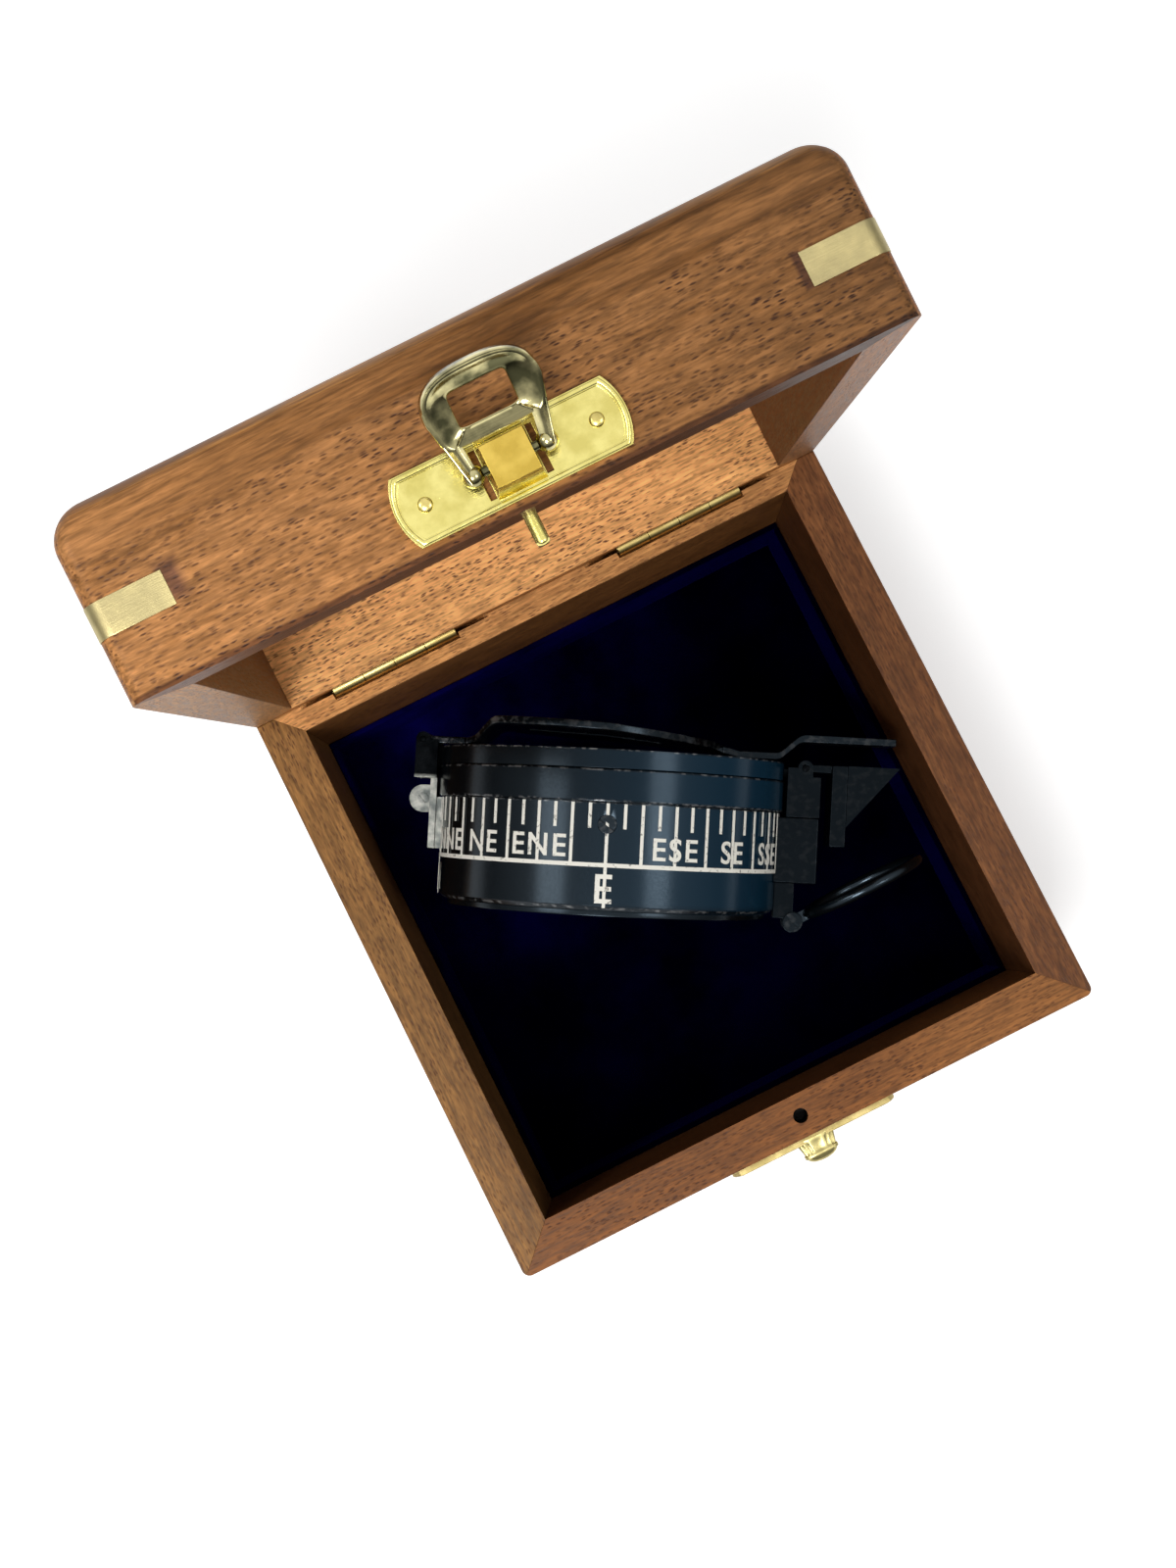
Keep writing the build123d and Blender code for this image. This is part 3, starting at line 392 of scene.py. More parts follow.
# Bottom of the base. One thin board of the same wood, glued into a rebate in
# the walls from below.
bottom_board = wood_finish("bottom_board", (0, 0, 0), (5, 5, 0), base_tones["front"])
eased("base_bottom_panel", "base", bottom_board, 0.2)

# Walls and top of the lid. They are boards of the same wood, mitred and glued,
# with a smoother board laid over them as the top and rounded with the walls.
# Their grain turns with the lid, which stands open.
lid_tones = {
    "front": ((0.55, 0.245, 0.082, 1), (0.21, 0.08, 0.016, 1)),
    "back": ((0.5, 0.21, 0.055, 1), (0.28, 0.1, 0.026, 1)),
    "left": ((0.4, 0.17, 0.048, 1), (0.2, 0.074, 0.02, 1)),
    "right": ((0.34, 0.13, 0.036, 1), (0.16, 0.055, 0.015, 1)),
}
# The inner faces of the lid's side walls are painted dark: painted shade.
painted_shade_lid_inside = ((-47.4, -47.4, 40), (47.4, 47.4, 69), 0.4, (0.27, 0.2, 0.24, 1))
# The rims of the lid's side walls are painted paler and greyer: painted sheen.
painted_sheen_side_rims = ((-56, -56, 46), (56, 56, 48.7), 0.3, (1.2, 1.45, 2.1, 1))
# The rim of the lid's front wall is painted dark: painted shade.
painted_shade_front_rim = ((-56, -56, 46), (56, 56, 48.7), 0.3, (0.36, 0.3, 0.3, 1))
left_strap_filler = ((-43.8, -56, 58.2), (-42.6, -53, 61.8), 1.4, (0.42, 0.4, 0.6, 1))
right_strap_filler = ((43.2, -56, 57.2), (43.9, -53, 61.8), 0.5, (0.4, 0.36, 0.5, 1))
# The inside of the lid's back wall is painted lighter: painted light.
painted_light_lid_back = ((-47.4, -60, 40), (47.4, 48.4, 69), 0.4, (2.15, 2.55, 3.4, 1))
lid_shades = {
    "front": (left_strap_filler, right_strap_filler, painted_shade_front_rim),
    "back": (painted_light_lid_back,),
    "left": (painted_shade_lid_inside, painted_sheen_side_rims),
    "right": (painted_shade_lid_inside, painted_sheen_side_rims),
}
# The lid's front board is painted darker towards its right end, a painted fall-off of light.
for side in side_turns:
    turn = (0, 0, radians(side_turns[side]))
    shift = (side_shifts[side] + 7, side_shifts[side], 0)
    board = wood_finish(
        "lid_" + side + "_board",
        turn,
        shift,
        lid_tones[side],
        pores=1.0,
        figure=0.1,
        opened=True,
        shades=lid_shades[side],
        painted_falloff=0.4 if side == "front" else 1.0,
        band=67.0 if side == "front" else 0.0,
    )
    eased("lid_" + side + "_wall", "lid", board, 0.25)
top_tones = ((0.5, 0.225, 0.06, 1), (0.15, 0.052, 0.014, 1))
# The top board is painted darker towards its right end too, a painted fall-off of light.
top_board = wood_finish(
    "top_board", (0, 0, 0), (9, 4, 0), top_tones, pores=0.12, figure=0.8, opened=True, painted_falloff=0.62
)
eased("lid_top_panel", "lid", top_board, 0.15)

# Velvet. A pad on the floor and four strips round the walls, of navy pile
# glued on card, with soft edges.
velvet, velvet_tree, velvet_shader = new_material("navy_velvet")
velvet_navy = (0.0001, 0.0001, 0.0025, 1)
velvet_blue = (0.0004, 0.0002, 0.011, 1)
velvet_place = object_place(velvet_tree)
velvet_nap = span(velvet_tree, clouds(velvet_tree, velvet_place, (90, 90, 90), 4), 0.35, 0.65)
velvet_pile = clouds(velvet_tree, velvet_place, (4500, 4500, 4500), 2)
velvet_xyz = parts_of(velvet_tree, velvet_place)
# The pile is painted lighter towards the back left, a painted pool of light.
velvet_back = span(velvet_tree, velvet_xyz["Y"], -10 * mm, 45 * mm)
velvet_left = span(velvet_tree, velvet_xyz["X"], 30 * mm, -30 * mm)
velvet_painted_light = span(velvet_tree, times(velvet_tree, velvet_back, velvet_left), 0, 1, 0.6, 7.0)
velvet_colour = mixed(velvet_tree, velvet_nap, velvet_navy, velvet_blue)
velvet_colour = scaled(velvet_tree, velvet_colour, velvet_painted_light)
velvet_tree.links.new(velvet_colour, velvet_shader.inputs["Base Color"])
velvet_shader.inputs["Roughness"].default_value = 1.0
velvet_shader.inputs["Specular IOR Level"].default_value = 0.0
velvet_shader.inputs["Sheen Weight"].default_value = 0.05
velvet_shader.inputs["Sheen Roughness"].default_value = 0.35
velvet_shader.inputs["Sheen Tint"].default_value = (0.03, 0.02, 0.75, 1)
relief(velvet_tree, velvet_shader, velvet_pile, 0.5, 0.2)


def velvet_piece(name, edge, swell):
    """A soft velvet piece that fills its frame node's space, with rounded, uneven edges."""
    low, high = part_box(name)
    bpy.ops.object.select_all(action="DESELECT")
    bpy.ops.mesh.primitive_cube_add(size=1, location=(low + high) / 2, scale=high - low)
    piece = bpy.context.object
    piece.name = name + "_soft"
    bpy.ops.object.transform_apply(location=True, rotation=True, scale=True)
    bpy.ops.object.mode_set(mode="EDIT")
    bpy.ops.mesh.select_all(action="SELECT")
    bpy.ops.mesh.bevel(offset=edge * mm, segments=3)
    bpy.ops.mesh.select_all(action="SELECT")
    bpy.ops.mesh.subdivide(number_cuts=12)
    bpy.ops.object.mode_set(mode="OBJECT")
    for point in piece.data.vertices:
        x, y, z = point.co
        uneven = Vector((sin(210 * y + 60 * z), sin(190 * x + 80 * z), sin(170 * x) * cos(150 * y)))
        point.co += uneven * swell * mm
    piece.data.shade_smooth()
    piece.data.materials.append(velvet)
    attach(piece, "base")
    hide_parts(name)


velvet_piece("floor_velvet", 0.35, 0.05)
for side in side_turns:
    velvet_piece("lining_" + side, 0.3, 0.05)

# Corner straps. Sawn strips of pale brass, bent round the corners and let
# into the wood, then filed level with it.
aged_metal, metal_in, metal_out = group_tree(
    "aged_metal",
    [
        ("Vector", "Vector"),
        ("Bright", "Color"),
        ("Dull", "Color"),
        ("Patch", "Float"),
        ("Scratch", "Float"),
        ("Satin", "Float"),
    ],
    [("Color", "Color"), ("Roughness", "Float"), ("Height", "Float")],
)
metal_place = metal_in["Vector"]
patch_inputs = {0: metal_in["Patch"], 1: metal_in["Patch"], 2: metal_in["Patch"]}
metal_size = put(aged_metal, "CombineXYZ", patch_inputs).outputs[0]
metal_patch = span(aged_metal, clouds(aged_metal, metal_place, metal_size, 4), 0.38, 0.64)
metal_lines = times(aged_metal, clouds(aged_metal, metal_place, (300, 9000, 9000), 2), metal_in["Scratch"])
metal_fine = times(aged_metal, clouds(aged_metal, metal_place, (2600, 2600, 2600), 2), 0.08)
aged_metal.links.new(mixed(aged_metal, metal_patch, metal_in["Dull"], metal_in["Bright"]), metal_out["Color"])
metal_rough = plus(aged_metal, span(aged_metal, metal_patch, 0, 1, 0.1, 0.0), metal_fine)
aged_metal.links.new(plus(aged_metal, metal_rough, metal_in["Satin"]), metal_out["Roughness"])
metal_relief = plus(aged_metal, metal_lines, times(aged_metal, metal_patch, 0.5))
aged_metal.links.new(metal_relief, metal_out["Height"])


def metal_finish(name, tones, patch, scratch, strength=0.15, satin=0.2, tops=None):
    """Bare metal with dull patches, fine scratches along X and a little relief.

    Tops is a way, the two heights along it that a tint fades in between, and the tint.
    """
    material, tree, shader = new_material(name)
    place = object_place(tree)
    bright, dull = tones
    inputs = {"Vector": place, "Bright": bright, "Dull": dull}
    inputs["Patch"] = patch
    inputs["Scratch"] = scratch
    inputs["Satin"] = satin
    metal = use_group(tree, aged_metal, inputs)
    colour = metal["Color"]
    if tops:
        way, low, high, tint = tops
        height = put(tree, "VectorMath", {0: place, 1: way}, operation="DOT_PRODUCT").outputs["Value"]
        tinted = mixed(tree, 1.0, colour, tint, "MULTIPLY")
        colour = mixed(tree, span(tree, height, low, high), colour, tinted)
    tree.links.new(colour, shader.inputs["Base Color"])
    tree.links.new(metal["Roughness"], shader.inputs["Roughness"])
    relief(tree, shader, metal["Height"], strength, 0.1)
    shader.inputs["Metallic"].default_value = 1.0
    return material


strap_tones = ((0.6, 0.5, 0.235, 1), (0.4, 0.335, 0.165, 1))
strap_brass = metal_finish("strap_brass", strap_tones, 190.0, 1.0, strength=0.25, satin=0.3)
eased("base_corner_straps", "base", strap_brass, 0.06)
eased("lid_corner_straps", "lid", strap_brass, 0.06)

# Hinges. Two narrow butt hinges of drawn brass in saw kerfs, with their barrels
# between the rims.
hinge_tones = ((0.66, 0.52, 0.2, 1), (0.4, 0.29, 0.1, 1))
hinge_brass = metal_finish("hinge_brass", hinge_tones, 200.0, 0.25)
for side in ("left", "right"):
    eased("base_hinge_leaf_" + side, "base", hinge_brass, 0.1)
    eased("lid_hinge_leaf_" + side, "lid", hinge_brass, 0.1)
    eased("hinge_pin_" + side, "base", hinge_brass, 0.1)

# Latch plate, keeper plate and their nails. Both plates are stamped from bright
# brass sheet, with a bead round the edge and an uneven polish.
plate_way = opening.to_3x3() @ Vector((0, -1, 0))
hub_top = max(plate_way.dot(corner.co) for corner in nodes["latch_plate"].data.vertices)
hub_gold = (plate_way, hub_top - 1.4 * mm, hub_top - 0.7 * mm, (0.9, 0.72, 0.42, 1))
latch_tones = ((0.95, 0.84, 0.29, 1), (0.72, 0.62, 0.18, 1))
latch_brass = metal_finish("latch_brass", latch_tones, 330.0, 0.3, strength=0.6, satin=0.08, tops=hub_gold)
latch_x = 0.6
plate_half = 14.5
plate_bulge = 1.3
plate_half_height = 4.7
plate_face = -55.82
bead_inset = 0.46
bead_half = 0.45
bead_rise = 0.42
bead_points = 12
end_steps = 10


def face_outwards():
    """Turns every face of the active piece to point outwards."""
    bpy.ops.object.mode_set(mode="EDIT")
    bpy.ops.mesh.select_all(action="SELECT")
    bpy.ops.mesh.normals_make_consistent(inside=False)
    bpy.ops.object.mode_set(mode="OBJECT")


def plate_bead(name, body, middle, place, material):
    """The rounded bead round a plate's edge, made for the shut box and turned to its place."""
    reach = plate_half - bead_inset
    rise = plate_half_height - bead_inset
    tip = reach + plate_bulge
    bow = (rise * rise + plate_bulge ** 2) / (2 * plate_bulge)
    swing = 2 * atan(plate_bulge / rise)
    stations = []
    for hand in (1, -1):
        for step in range(-end_steps, end_steps + 1):
            way = swing * step / end_steps
            out = Vector((hand * cos(way), hand * sin(way)))
            spot = Vector((hand * (tip - bow), 0)) + bow * out
            if abs(step) < end_steps:
                stations.append((spot, out))
                continue
            edge = Vector((0, hand * step / end_steps))
            corner = (spot, (out + edge) / (1 + out.dot(edge)))
            straight = (spot - Vector((0.5 * hand, 0)), edge)
            stations += (straight, corner) if step < 0 else (corner, straight)
    bpy.ops.object.select_all(action="DESELECT")
    bpy.ops.mesh.primitive_torus_add(major_segments=len(stations), minor_segments=bead_points)
    bead = bpy.context.object
    bead.name = name
    for number, point in enumerate(bead.data.vertices):
        station, step = divmod(number, bead_points)
        spot, out = stations[station]
        way = tau * step / bead_points
        spot = spot + out * bead_half * cos(way)
        depth = plate_face - max(0.0, bead_rise * sin(way))
        point.co = Vector((latch_x + spot.x, depth, middle + spot.y)) * mm
    face_outwards()
    bead.data.transform(place)
    bpy.ops.object.shade_smooth_by_angle(angle=radians(60))
    bead.data.materials.append(material)
    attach(bead, body)


latch_middle = 54.15
plate_bead("lid_plate_bead", "lid", latch_middle, opening, latch_brass)
nail_tones = ((0.88, 0.72, 0.25, 1), (0.62, 0.5, 0.16, 1))
nail_brass = metal_finish("nail_brass", nail_tones, 600.0, 0.3, strength=0.3, satin=0.12)
eased("latch_plate", "lid", latch_brass, 0.14)
lid_nails = eased("latch_nails", "lid", nail_brass, 0.05)
nail_top = max(plate_way.dot(corner.co) for corner in lid_nails.data.vertices)
nail_dome = 0.8 * mm
nail_flattening = 0.6
for corner in lid_nails.data.vertices:
    proud = plate_way.dot(corner.co) - (nail_top - nail_dome)
    if proud > 0:
        corner.co -= plate_way * proud * nail_flattening
# The keeper plate is the latch's brass painted darker: painted shade.
keeper_shaded_tones = ((0.62, 0.5, 0.22, 1), (0.46, 0.37, 0.15, 1))
keeper_shaded_brass = metal_finish("keeper_shaded_brass", keeper_shaded_tones, 330.0, 0.3, strength=0.3, satin=0.5)
eased("keeper_plate", "base", keeper_shaded_brass, 0.14)
knob_cut = (0, -56.15 * mm, 0)
bpy.ops.object.mode_set(mode="EDIT")
bpy.ops.mesh.select_all(action="SELECT")
bpy.ops.mesh.bisect(plane_co=knob_cut, plane_no=(0, -1, 0), use_fill=True, clear_outer=True)
face_outwards()
bpy.ops.mesh.customdata_custom_splitnormals_clear()
bpy.ops.object.shade_smooth_by_angle(angle=radians(20))
eased("keeper_nails", "base", nail_brass, 0.05)
keeper_middle = 42.0
plate_bead("keeper_plate_bead", "base", keeper_middle, Matrix.Identity(4), keeper_shaded_brass)


# Knob of the keeper. It is cast brass, ribbed along its top, with a smooth lip
# and a rounded end that the loop is pushed over.
def bowed_side(value):
    """A sine or cosine that gives the knob's section its nearly flat faces."""
    return (1 if value >= 0 else -1) * abs(value) ** 0.6


knob_height = 45.25
knob_half = 3.5
knob_half_height = 1.55
knob_length = 4.45
knob_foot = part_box("keeper_plate")[0].y / mm + 4.5
knob_ribs = 16
knob_rib_depth = 0.06
# Each row is a place along the knob, its width there, and how far it is ribbed.
knob_shape = (
    (0.0, 1.0, 0.0),
    (0.1, 1.0, 0.0),
    (0.16, 0.98, 1.0),
    (0.5, 0.87, 1.0),
    (0.58, 0.85, 0.4),
    (0.62, 0.9, 0.0),
    (0.72, 0.9, 0.0),
    (0.76, 0.82, 0.0),
    (0.86, 0.7, 0.0),
    (0.94, 0.5, 0.0),
    (0.99, 0.22, 0.0),
)
knob_rings = len(knob_shape)
bpy.ops.object.select_all(action="DESELECT")
bpy.ops.mesh.primitive_uv_sphere_add(segments=96, ring_count=knob_rings + 1)
knob = bpy.context.object
knob.name = "keeper_knob"
for point in knob.data.vertices:
    across = point.co.to_2d()
    way = across.angle_signed(Vector((1, 0))) if across.length > 0.01 else 0.0
    step = round(point.co.angle(Vector((0, 0, 1))) / pi * (knob_rings + 1)) - 1
    along, wide, ribbed = knob_shape[max(0, min(knob_rings - 1, step))]
    if step < 0 or step >= knob_rings:
        wide = 0.0
    wide *= 1 - knob_rib_depth * ribbed * (1 + cos(way * knob_ribs))
    x = latch_x + knob_half * wide * bowed_side(cos(way))
    z = knob_height + knob_half_height * wide * bowed_side(sin(way))
    point.co = Vector((x, knob_foot - knob_length * along, z)) * mm
face_outwards()
bpy.ops.object.shade_smooth_by_angle(angle=radians(40))
# The knob's brass is painted darker than the latch's: painted shade.
knob_shaded_tones = ((0.6, 0.51, 0.22, 1), (0.4, 0.34, 0.14, 1))
knob.data.materials.append(metal_finish("knob_brass", knob_shaded_tones, 500.0, 0.2, strength=0.2, satin=0.28))
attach(knob, "base")

# Loop of the latch. It is pressed from one piece of sheet, dished so that its
# outer edge stands up, polished, and hung on two ball-ended ears.
joints = {joint["name"]: joint for joint in frame["joints"]}
# The dull patches are nearly black, partly tarnish and partly painted dark reflection.
loop_tones = ((0.82, 0.73, 0.37, 1), (0.13, 0.125, 0.06, 1))
loop_brass = metal_finish("loop_brass", loop_tones, 240.0, 0.2, strength=0.3, satin=0.03)
loop_place = Matrix.Rotation(radians(35), 4, "X")
loop_place.translation = Vector(joints["latch_swing"]["pos_m"])
loop_foot = 5.9
loop_shoulder = 7.75
loop_shoulder_height = 8.7
loop_crown = 14.0
loop_lip = 1.3
loop_bar_low = 4.2
window_half = 3.9
window_middle = 8.55
window_rise = 2.45
dish_width = 2.7
# Each point is an inset from the outer edge and a share of the lip's height.
dish = ((0.0, 0.75), (0.12, 0.96), (0.36, 1.0), (0.58, 0.9), (0.95, 0.66), (1.5, 0.36), (2.2, 0.12))


def loop_ring(reach, lip):
    """Inset and height of each point round the loop's section, in millimetres."""
    tight = reach / dish_width
    front = [(inset * tight, 0.45 + height * lip) for inset, height in dish]
    inner = [(reach - 0.15, 0.45), (reach, 0.3), (reach, -0.3), (reach - 0.15, -0.5)]
    return front + inner + [(reach / 2, -0.5), (0.3, -0.45), (0.0, -0.1)]


def leg_half(height):
    """Half the loop's outer width at a height above its pivot."""
    share = min(height, loop_shoulder_height) / loop_shoulder_height
    return loop_foot + (loop_shoulder - loop_foot) * share


def bowed(value, power):
    """A sine or cosine drawn out so that its curve has squarer corners."""
    return (1 if value >= 0 else -1) * abs(value) ** (2 / power)


def join_parts(parts, name):
    """Joins meshes into the first of them and names it."""
    bpy.ops.object.select_all(action="DESELECT")
    for part in parts:
        part.select_set(True)
    bpy.context.view_layer.objects.active = parts[0]
    bpy.ops.object.join()
    joined = bpy.context.object
    joined.name = name
    return joined


loop_stations = 96
section_points = len(loop_ring(3.0, 1.0))
crown_corner = 2.6
bar_corner = 7
window_corner = 9
bpy.ops.object.select_all(action="DESELECT")
bpy.ops.mesh.primitive_torus_add(major_segments=loop_stations, minor_segments=section_points)
ring = bpy.context.object
for number, point in enumerate(ring.data.vertices):
    station, step = divmod(number, section_points)
    way = tau * station / loop_stations
    if sin(way) >= 0:
        high = loop_shoulder_height + (loop_crown - loop_shoulder_height) * bowed(sin(way), crown_corner)
        outer = Vector((loop_shoulder * bowed(cos(way), crown_corner), high, 0))
        lip = loop_lip
    else:
        low = loop_shoulder_height + (loop_shoulder_height - loop_bar_low) * bowed(sin(way), bar_corner)
        outer = Vector((leg_half(low) * bowed(cos(way), bar_corner), low, 0))
        lip = loop_lip * min(1.0, max(0.0, (0.9 + sin(way)) / 0.15))
    window_x = window_half * bowed(cos(way), window_corner)
    window_y = window_middle + window_rise * bowed(sin(way), window_corner)
    inner = Vector((window_x, window_y, 0))
    reach = (inner - outer).length
    inset, height = loop_ring(reach, lip)[step]
    point.co = (outer + (inner - outer) * inset / reach + Vector((0, 0, height))) * mm
loop_parts = [ring]
leg_top = 5.6
leg_end = -0.2
leg_inner_top = 4.9
leg_inner_end = 4.25
ball_radius = 1.45
ball_x = 5.05
stub_radius = 0.65
stub_length = 2.2
stub_x = 3.7
for hand in (-1, 1):
    bpy.ops.object.select_all(action="DESELECT")
    bpy.ops.mesh.primitive_cylinder_add(vertices=section_points)
    leg = bpy.context.object
    for point in leg.data.vertices:
        way = point.co.to_2d().angle_signed(Vector((1, 0))) % tau
        step = round(way / tau * section_points) % section_points
        high = leg_top if point.co.z > 0 else leg_end
        outer = leg_half(high) - 0.03
        inner = leg_inner_top if point.co.z > 0 else leg_inner_end
        inset, height = loop_ring(outer - inner, loop_lip)[step]
        point.co = Vector((hand * (outer - inset), high, height - 0.02)) * mm
    loop_parts.append(leg)
    bpy.ops.object.select_all(action="DESELECT")
    bpy.ops.mesh.primitive_uv_sphere_add(
        segments=24,
        ring_count=14,
        radius=ball_radius * mm,
        location=(hand * ball_x * mm, 0, 0),
    )
    bpy.ops.object.transform_apply(location=True, rotation=True, scale=True)
    loop_parts.append(bpy.context.object)
    bpy.ops.mesh.primitive_cylinder_add(
        vertices=20,
        radius=stub_radius * mm,
        depth=stub_length * mm,
        location=(hand * stub_x * mm, 0, 0),
        rotation=(0, pi / 2, 0),
    )
    bpy.ops.object.transform_apply(location=True, rotation=True, scale=True)
    loop_parts.append(bpy.context.object)
loop = join_parts(loop_parts, "latch_loop")
face_outwards()
loop.data.transform(loop_place)
bpy.ops.object.shade_smooth_by_angle(angle=radians(50))
loop.data.materials.clear()
loop.data.materials.append(loop_brass)
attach(loop, "loop")
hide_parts("latch_bail")

# Locating pin. A turned brass pin, driven into the lid's rim, that drops into
# the hole in the base's rim.
eased("dowel_pin", "lid", latch_brass, 0.1)

# Case of the compass. Turned brass with satin black enamel, rubbed through
# along the rims, on axes that run from its base cover to its lid.
axis = Vector(joints["bezel_turn"]["axis"])
east_up = -Vector(joints["sight_lid_hinge"]["axis"])
to_prism = east_up.cross(axis)
case_floor = 1.0 * mm
compass_origin = Vector(joints["card_turn"]["pos_m"]) - axis * case_floor
compass_place = Matrix((to_prism, east_up, axis)).transposed().to_4x4()
compass_place.translation = compass_origin
compass_inverse = compass_place.inverted()

black_enamel, enamel_in, enamel_out = group_tree(
    "black_enamel",
    [("Vector", "Vector"), ("Rub", "Float")],
    [("Color", "Color"), ("Roughness", "Float"), ("Metallic", "Float"), ("Height", "Float")],
)
enamel_black = (0.0008, 0.0012, 0.0016, 1)
enamel_grey = (0.0026, 0.004, 0.0054, 1)
enamel_bare = (0.2, 0.2, 0.2, 1)
painted_blue_reflection = (0.005, 0.03, 0.058, 1)
enamel_place = enamel_in["Vector"]
enamel_cloud = clouds(black_enamel, enamel_place, (140, 140, 140), 4)
enamel_speck = clouds(black_enamel, enamel_place, (2400, 2400, 2400), 3)
enamel_nick = clouds(black_enamel, enamel_place, (700, 700, 900), 5)
enamel_chip = times(black_enamel, span(black_enamel, enamel_nick, 0.5, 0.66), enamel_in["Rub"])
enamel_tone = mixed(black_enamel, enamel_cloud, enamel_black, enamel_grey)
black_enamel.links.new(mixed(black_enamel, enamel_chip, enamel_tone, enamel_bare), enamel_out["Color"])
black_enamel.links.new(span(black_enamel, enamel_speck, 0.3, 0.7, 0.16, 0.24), enamel_out["Roughness"])
black_enamel.links.new(times(black_enamel, enamel_chip, 0.7), enamel_out["Metallic"])
enamel_hollow = times(black_enamel, enamel_chip, -0.5)
enamel_relief = plus(black_enamel, times(black_enamel, enamel_speck, 0.4), enamel_hollow)
black_enamel.links.new(enamel_relief, enamel_out["Height"])


def enamel_finish(name, rims=(), everywhere=0.0, shine=0.4, painted_blue_sheen=0.0, worn_end=0.0):
    """Black enamel, rubbed to bare metal near the given heights above the base cover.

    Everywhere is how far it is rubbed all over, worn_end how far at the end away from
    the prism, and the blue share how far it is painted blue at the prism's end, a
    painted blue reflection.
    """
    material, tree, shader = new_material(name)
    inputs = {"Vector": object_place(tree), "Rotation": compass_inverse.to_euler()}
    inputs["Location"] = compass_inverse.translation
    own = put(tree, "Mapping", inputs).outputs[0]
    along = parts_of(tree, own)["X"]
    height = parts_of(tree, own)["Z"]
    rub = everywhere
    for rim in rims:
        away = put(tree, "Math", {0: height, 1: rim * mm}, operation="SUBTRACT").outputs[0]
        away = put(tree, "Math", {0: away}, operation="ABSOLUTE").outputs[0]
        rub = greater(tree, rub, span(tree, away, 0.08 * mm, 0.3 * mm, 0.8, 0))
    if worn_end:
        rub = greater(tree, rub, span(tree, along, -12 * mm, -27 * mm, 0, worn_end))
    enamel = use_group(tree, black_enamel, {"Vector": own, "Rub": rub})
    colour = enamel["Color"]
    # The enamel is painted blue towards the prism's end: painted blue reflection.
    if painted_blue_sheen:
        kept = plus(tree, 1.0, times(tree, rub, -1.0))
        share = times(tree, span(tree, along, -10 * mm, 26 * mm, 0, painted_blue_sheen), kept)
        share = times(tree, share, span(tree, height, 0.6 * mm, 2.5 * mm))
        colour = mixed(tree, share, colour, painted_blue_reflection)
    tree.links.new(colour, shader.inputs["Base Color"])
    tree.links.new(enamel["Roughness"], shader.inputs["Roughness"])
    tree.links.new(enamel["Metallic"], shader.inputs["Metallic"])
    relief(tree, shader, enamel["Height"], 0.1, 0.08)
    shader.inputs["Specular IOR Level"].default_value = shine
    shader.inputs["Specular Tint"].default_value = (0.62, 0.82, 1.0, 1)
    return material


case_black = enamel_finish("case_black", rims=(1.4, 19.0), shine=0.3, painted_blue_sheen=0.7)
screw_black = enamel_finish("screw_black", everywhere=0.25)
eased("compass_base_cover", "compass", case_black, 0.15)
eased("compass_case", "compass", case_black, 0.15)
eased("case_screw", "compass", screw_black, 0.06)

# Lug at the left of the case and its screw. It is bare steel where it shows,
# blacked above, where it carries the sight lid's hinge, and screwed to the case.
cover_level = axis.dot(compass_origin)
lug_blacked = (axis, cover_level + 22.2 * mm, cover_level + 22.9 * mm, (0.012, 0.014, 0.018, 1))
bare_tones = ((0.3, 0.3, 0.27, 1), (0.1, 0.11, 0.105, 1))
bare_metal = metal_finish("bare_metal", bare_tones, 420.0, 1.0, strength=0.3, satin=0.32, tops=lug_blacked)
eased("case_lug", "compass", bare_metal, 0.15)
screw_radius = 0.95
screw_length = 1.9
slot_half = 0.16
slot_depth = 0.72
bpy.ops.object.select_all(action="DESELECT")
bpy.ops.mesh.primitive_cylinder_add(vertices=28, radius=screw_radius * mm, depth=screw_length * mm)
lug_screw = bpy.context.object
lug_screw.name = "lug_screw"
bpy.ops.object.mode_set(mode="EDIT")
for slot_side in (slot_half, -slot_half):
    bpy.ops.mesh.select_all(action="SELECT")
    bpy.ops.mesh.bisect(plane_co=(0, slot_side * mm, 0), plane_no=(0, 1, 0))
bpy.ops.object.mode_set(mode="OBJECT")
for face in lug_screw.data.polygons:
    face.select = abs(face.normal.z) > 0.9 and abs(face.center.y) < 0.1 * mm
bpy.ops.object.mode_set(mode="EDIT")
bpy.ops.mesh.extrude_region_move(TRANSFORM_OT_translate={"value": (0, 0, 0)})
bpy.ops.transform.resize(value=(1, 1, slot_depth))
face_outwards()
screw_middle = Vector((-34.87, 28.67, 36.37))
screw_place = Matrix.Translation(screw_middle * mm) @ east_up.to_track_quat("Z", "Y").to_matrix().to_4x4()
lug_screw.data.transform(screw_place @ Matrix.Rotation(radians(50), 4, "Z"))
bpy.ops.object.shade_smooth_by_angle(angle=sharp_edge)
screw_tones = ((0.26, 0.26, 0.24, 1), (0.1, 0.11, 0.105, 1))
screw_steel = metal_finish("screw_steel", screw_tones, 420.0, 1.0, strength=0.3, satin=0.32)
screw_tree = screw_steel.node_tree
screw_colour = screw_tree.nodes["Principled BSDF"].inputs["Base Color"]
screw_bright = screw_colour.links[0].from_socket
# The screw's middle is painted near black, the painted shade of a hole.
screw_reach = Vector((0.35, 1.4, 0.35))
screw_low = screw_middle - screw_reach
screw_high = screw_middle + screw_reach
screw_painted_hole_shade = within(screw_tree, object_place(screw_tree), screw_low, screw_high, 0.15)
screw_tree.links.new(mixed(screw_tree, screw_painted_hole_shade, screw_bright, (0.006, 0.006, 0.007, 1)), screw_colour)
lug_screw.data.materials.append(screw_steel)
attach(lug_screw, "compass")

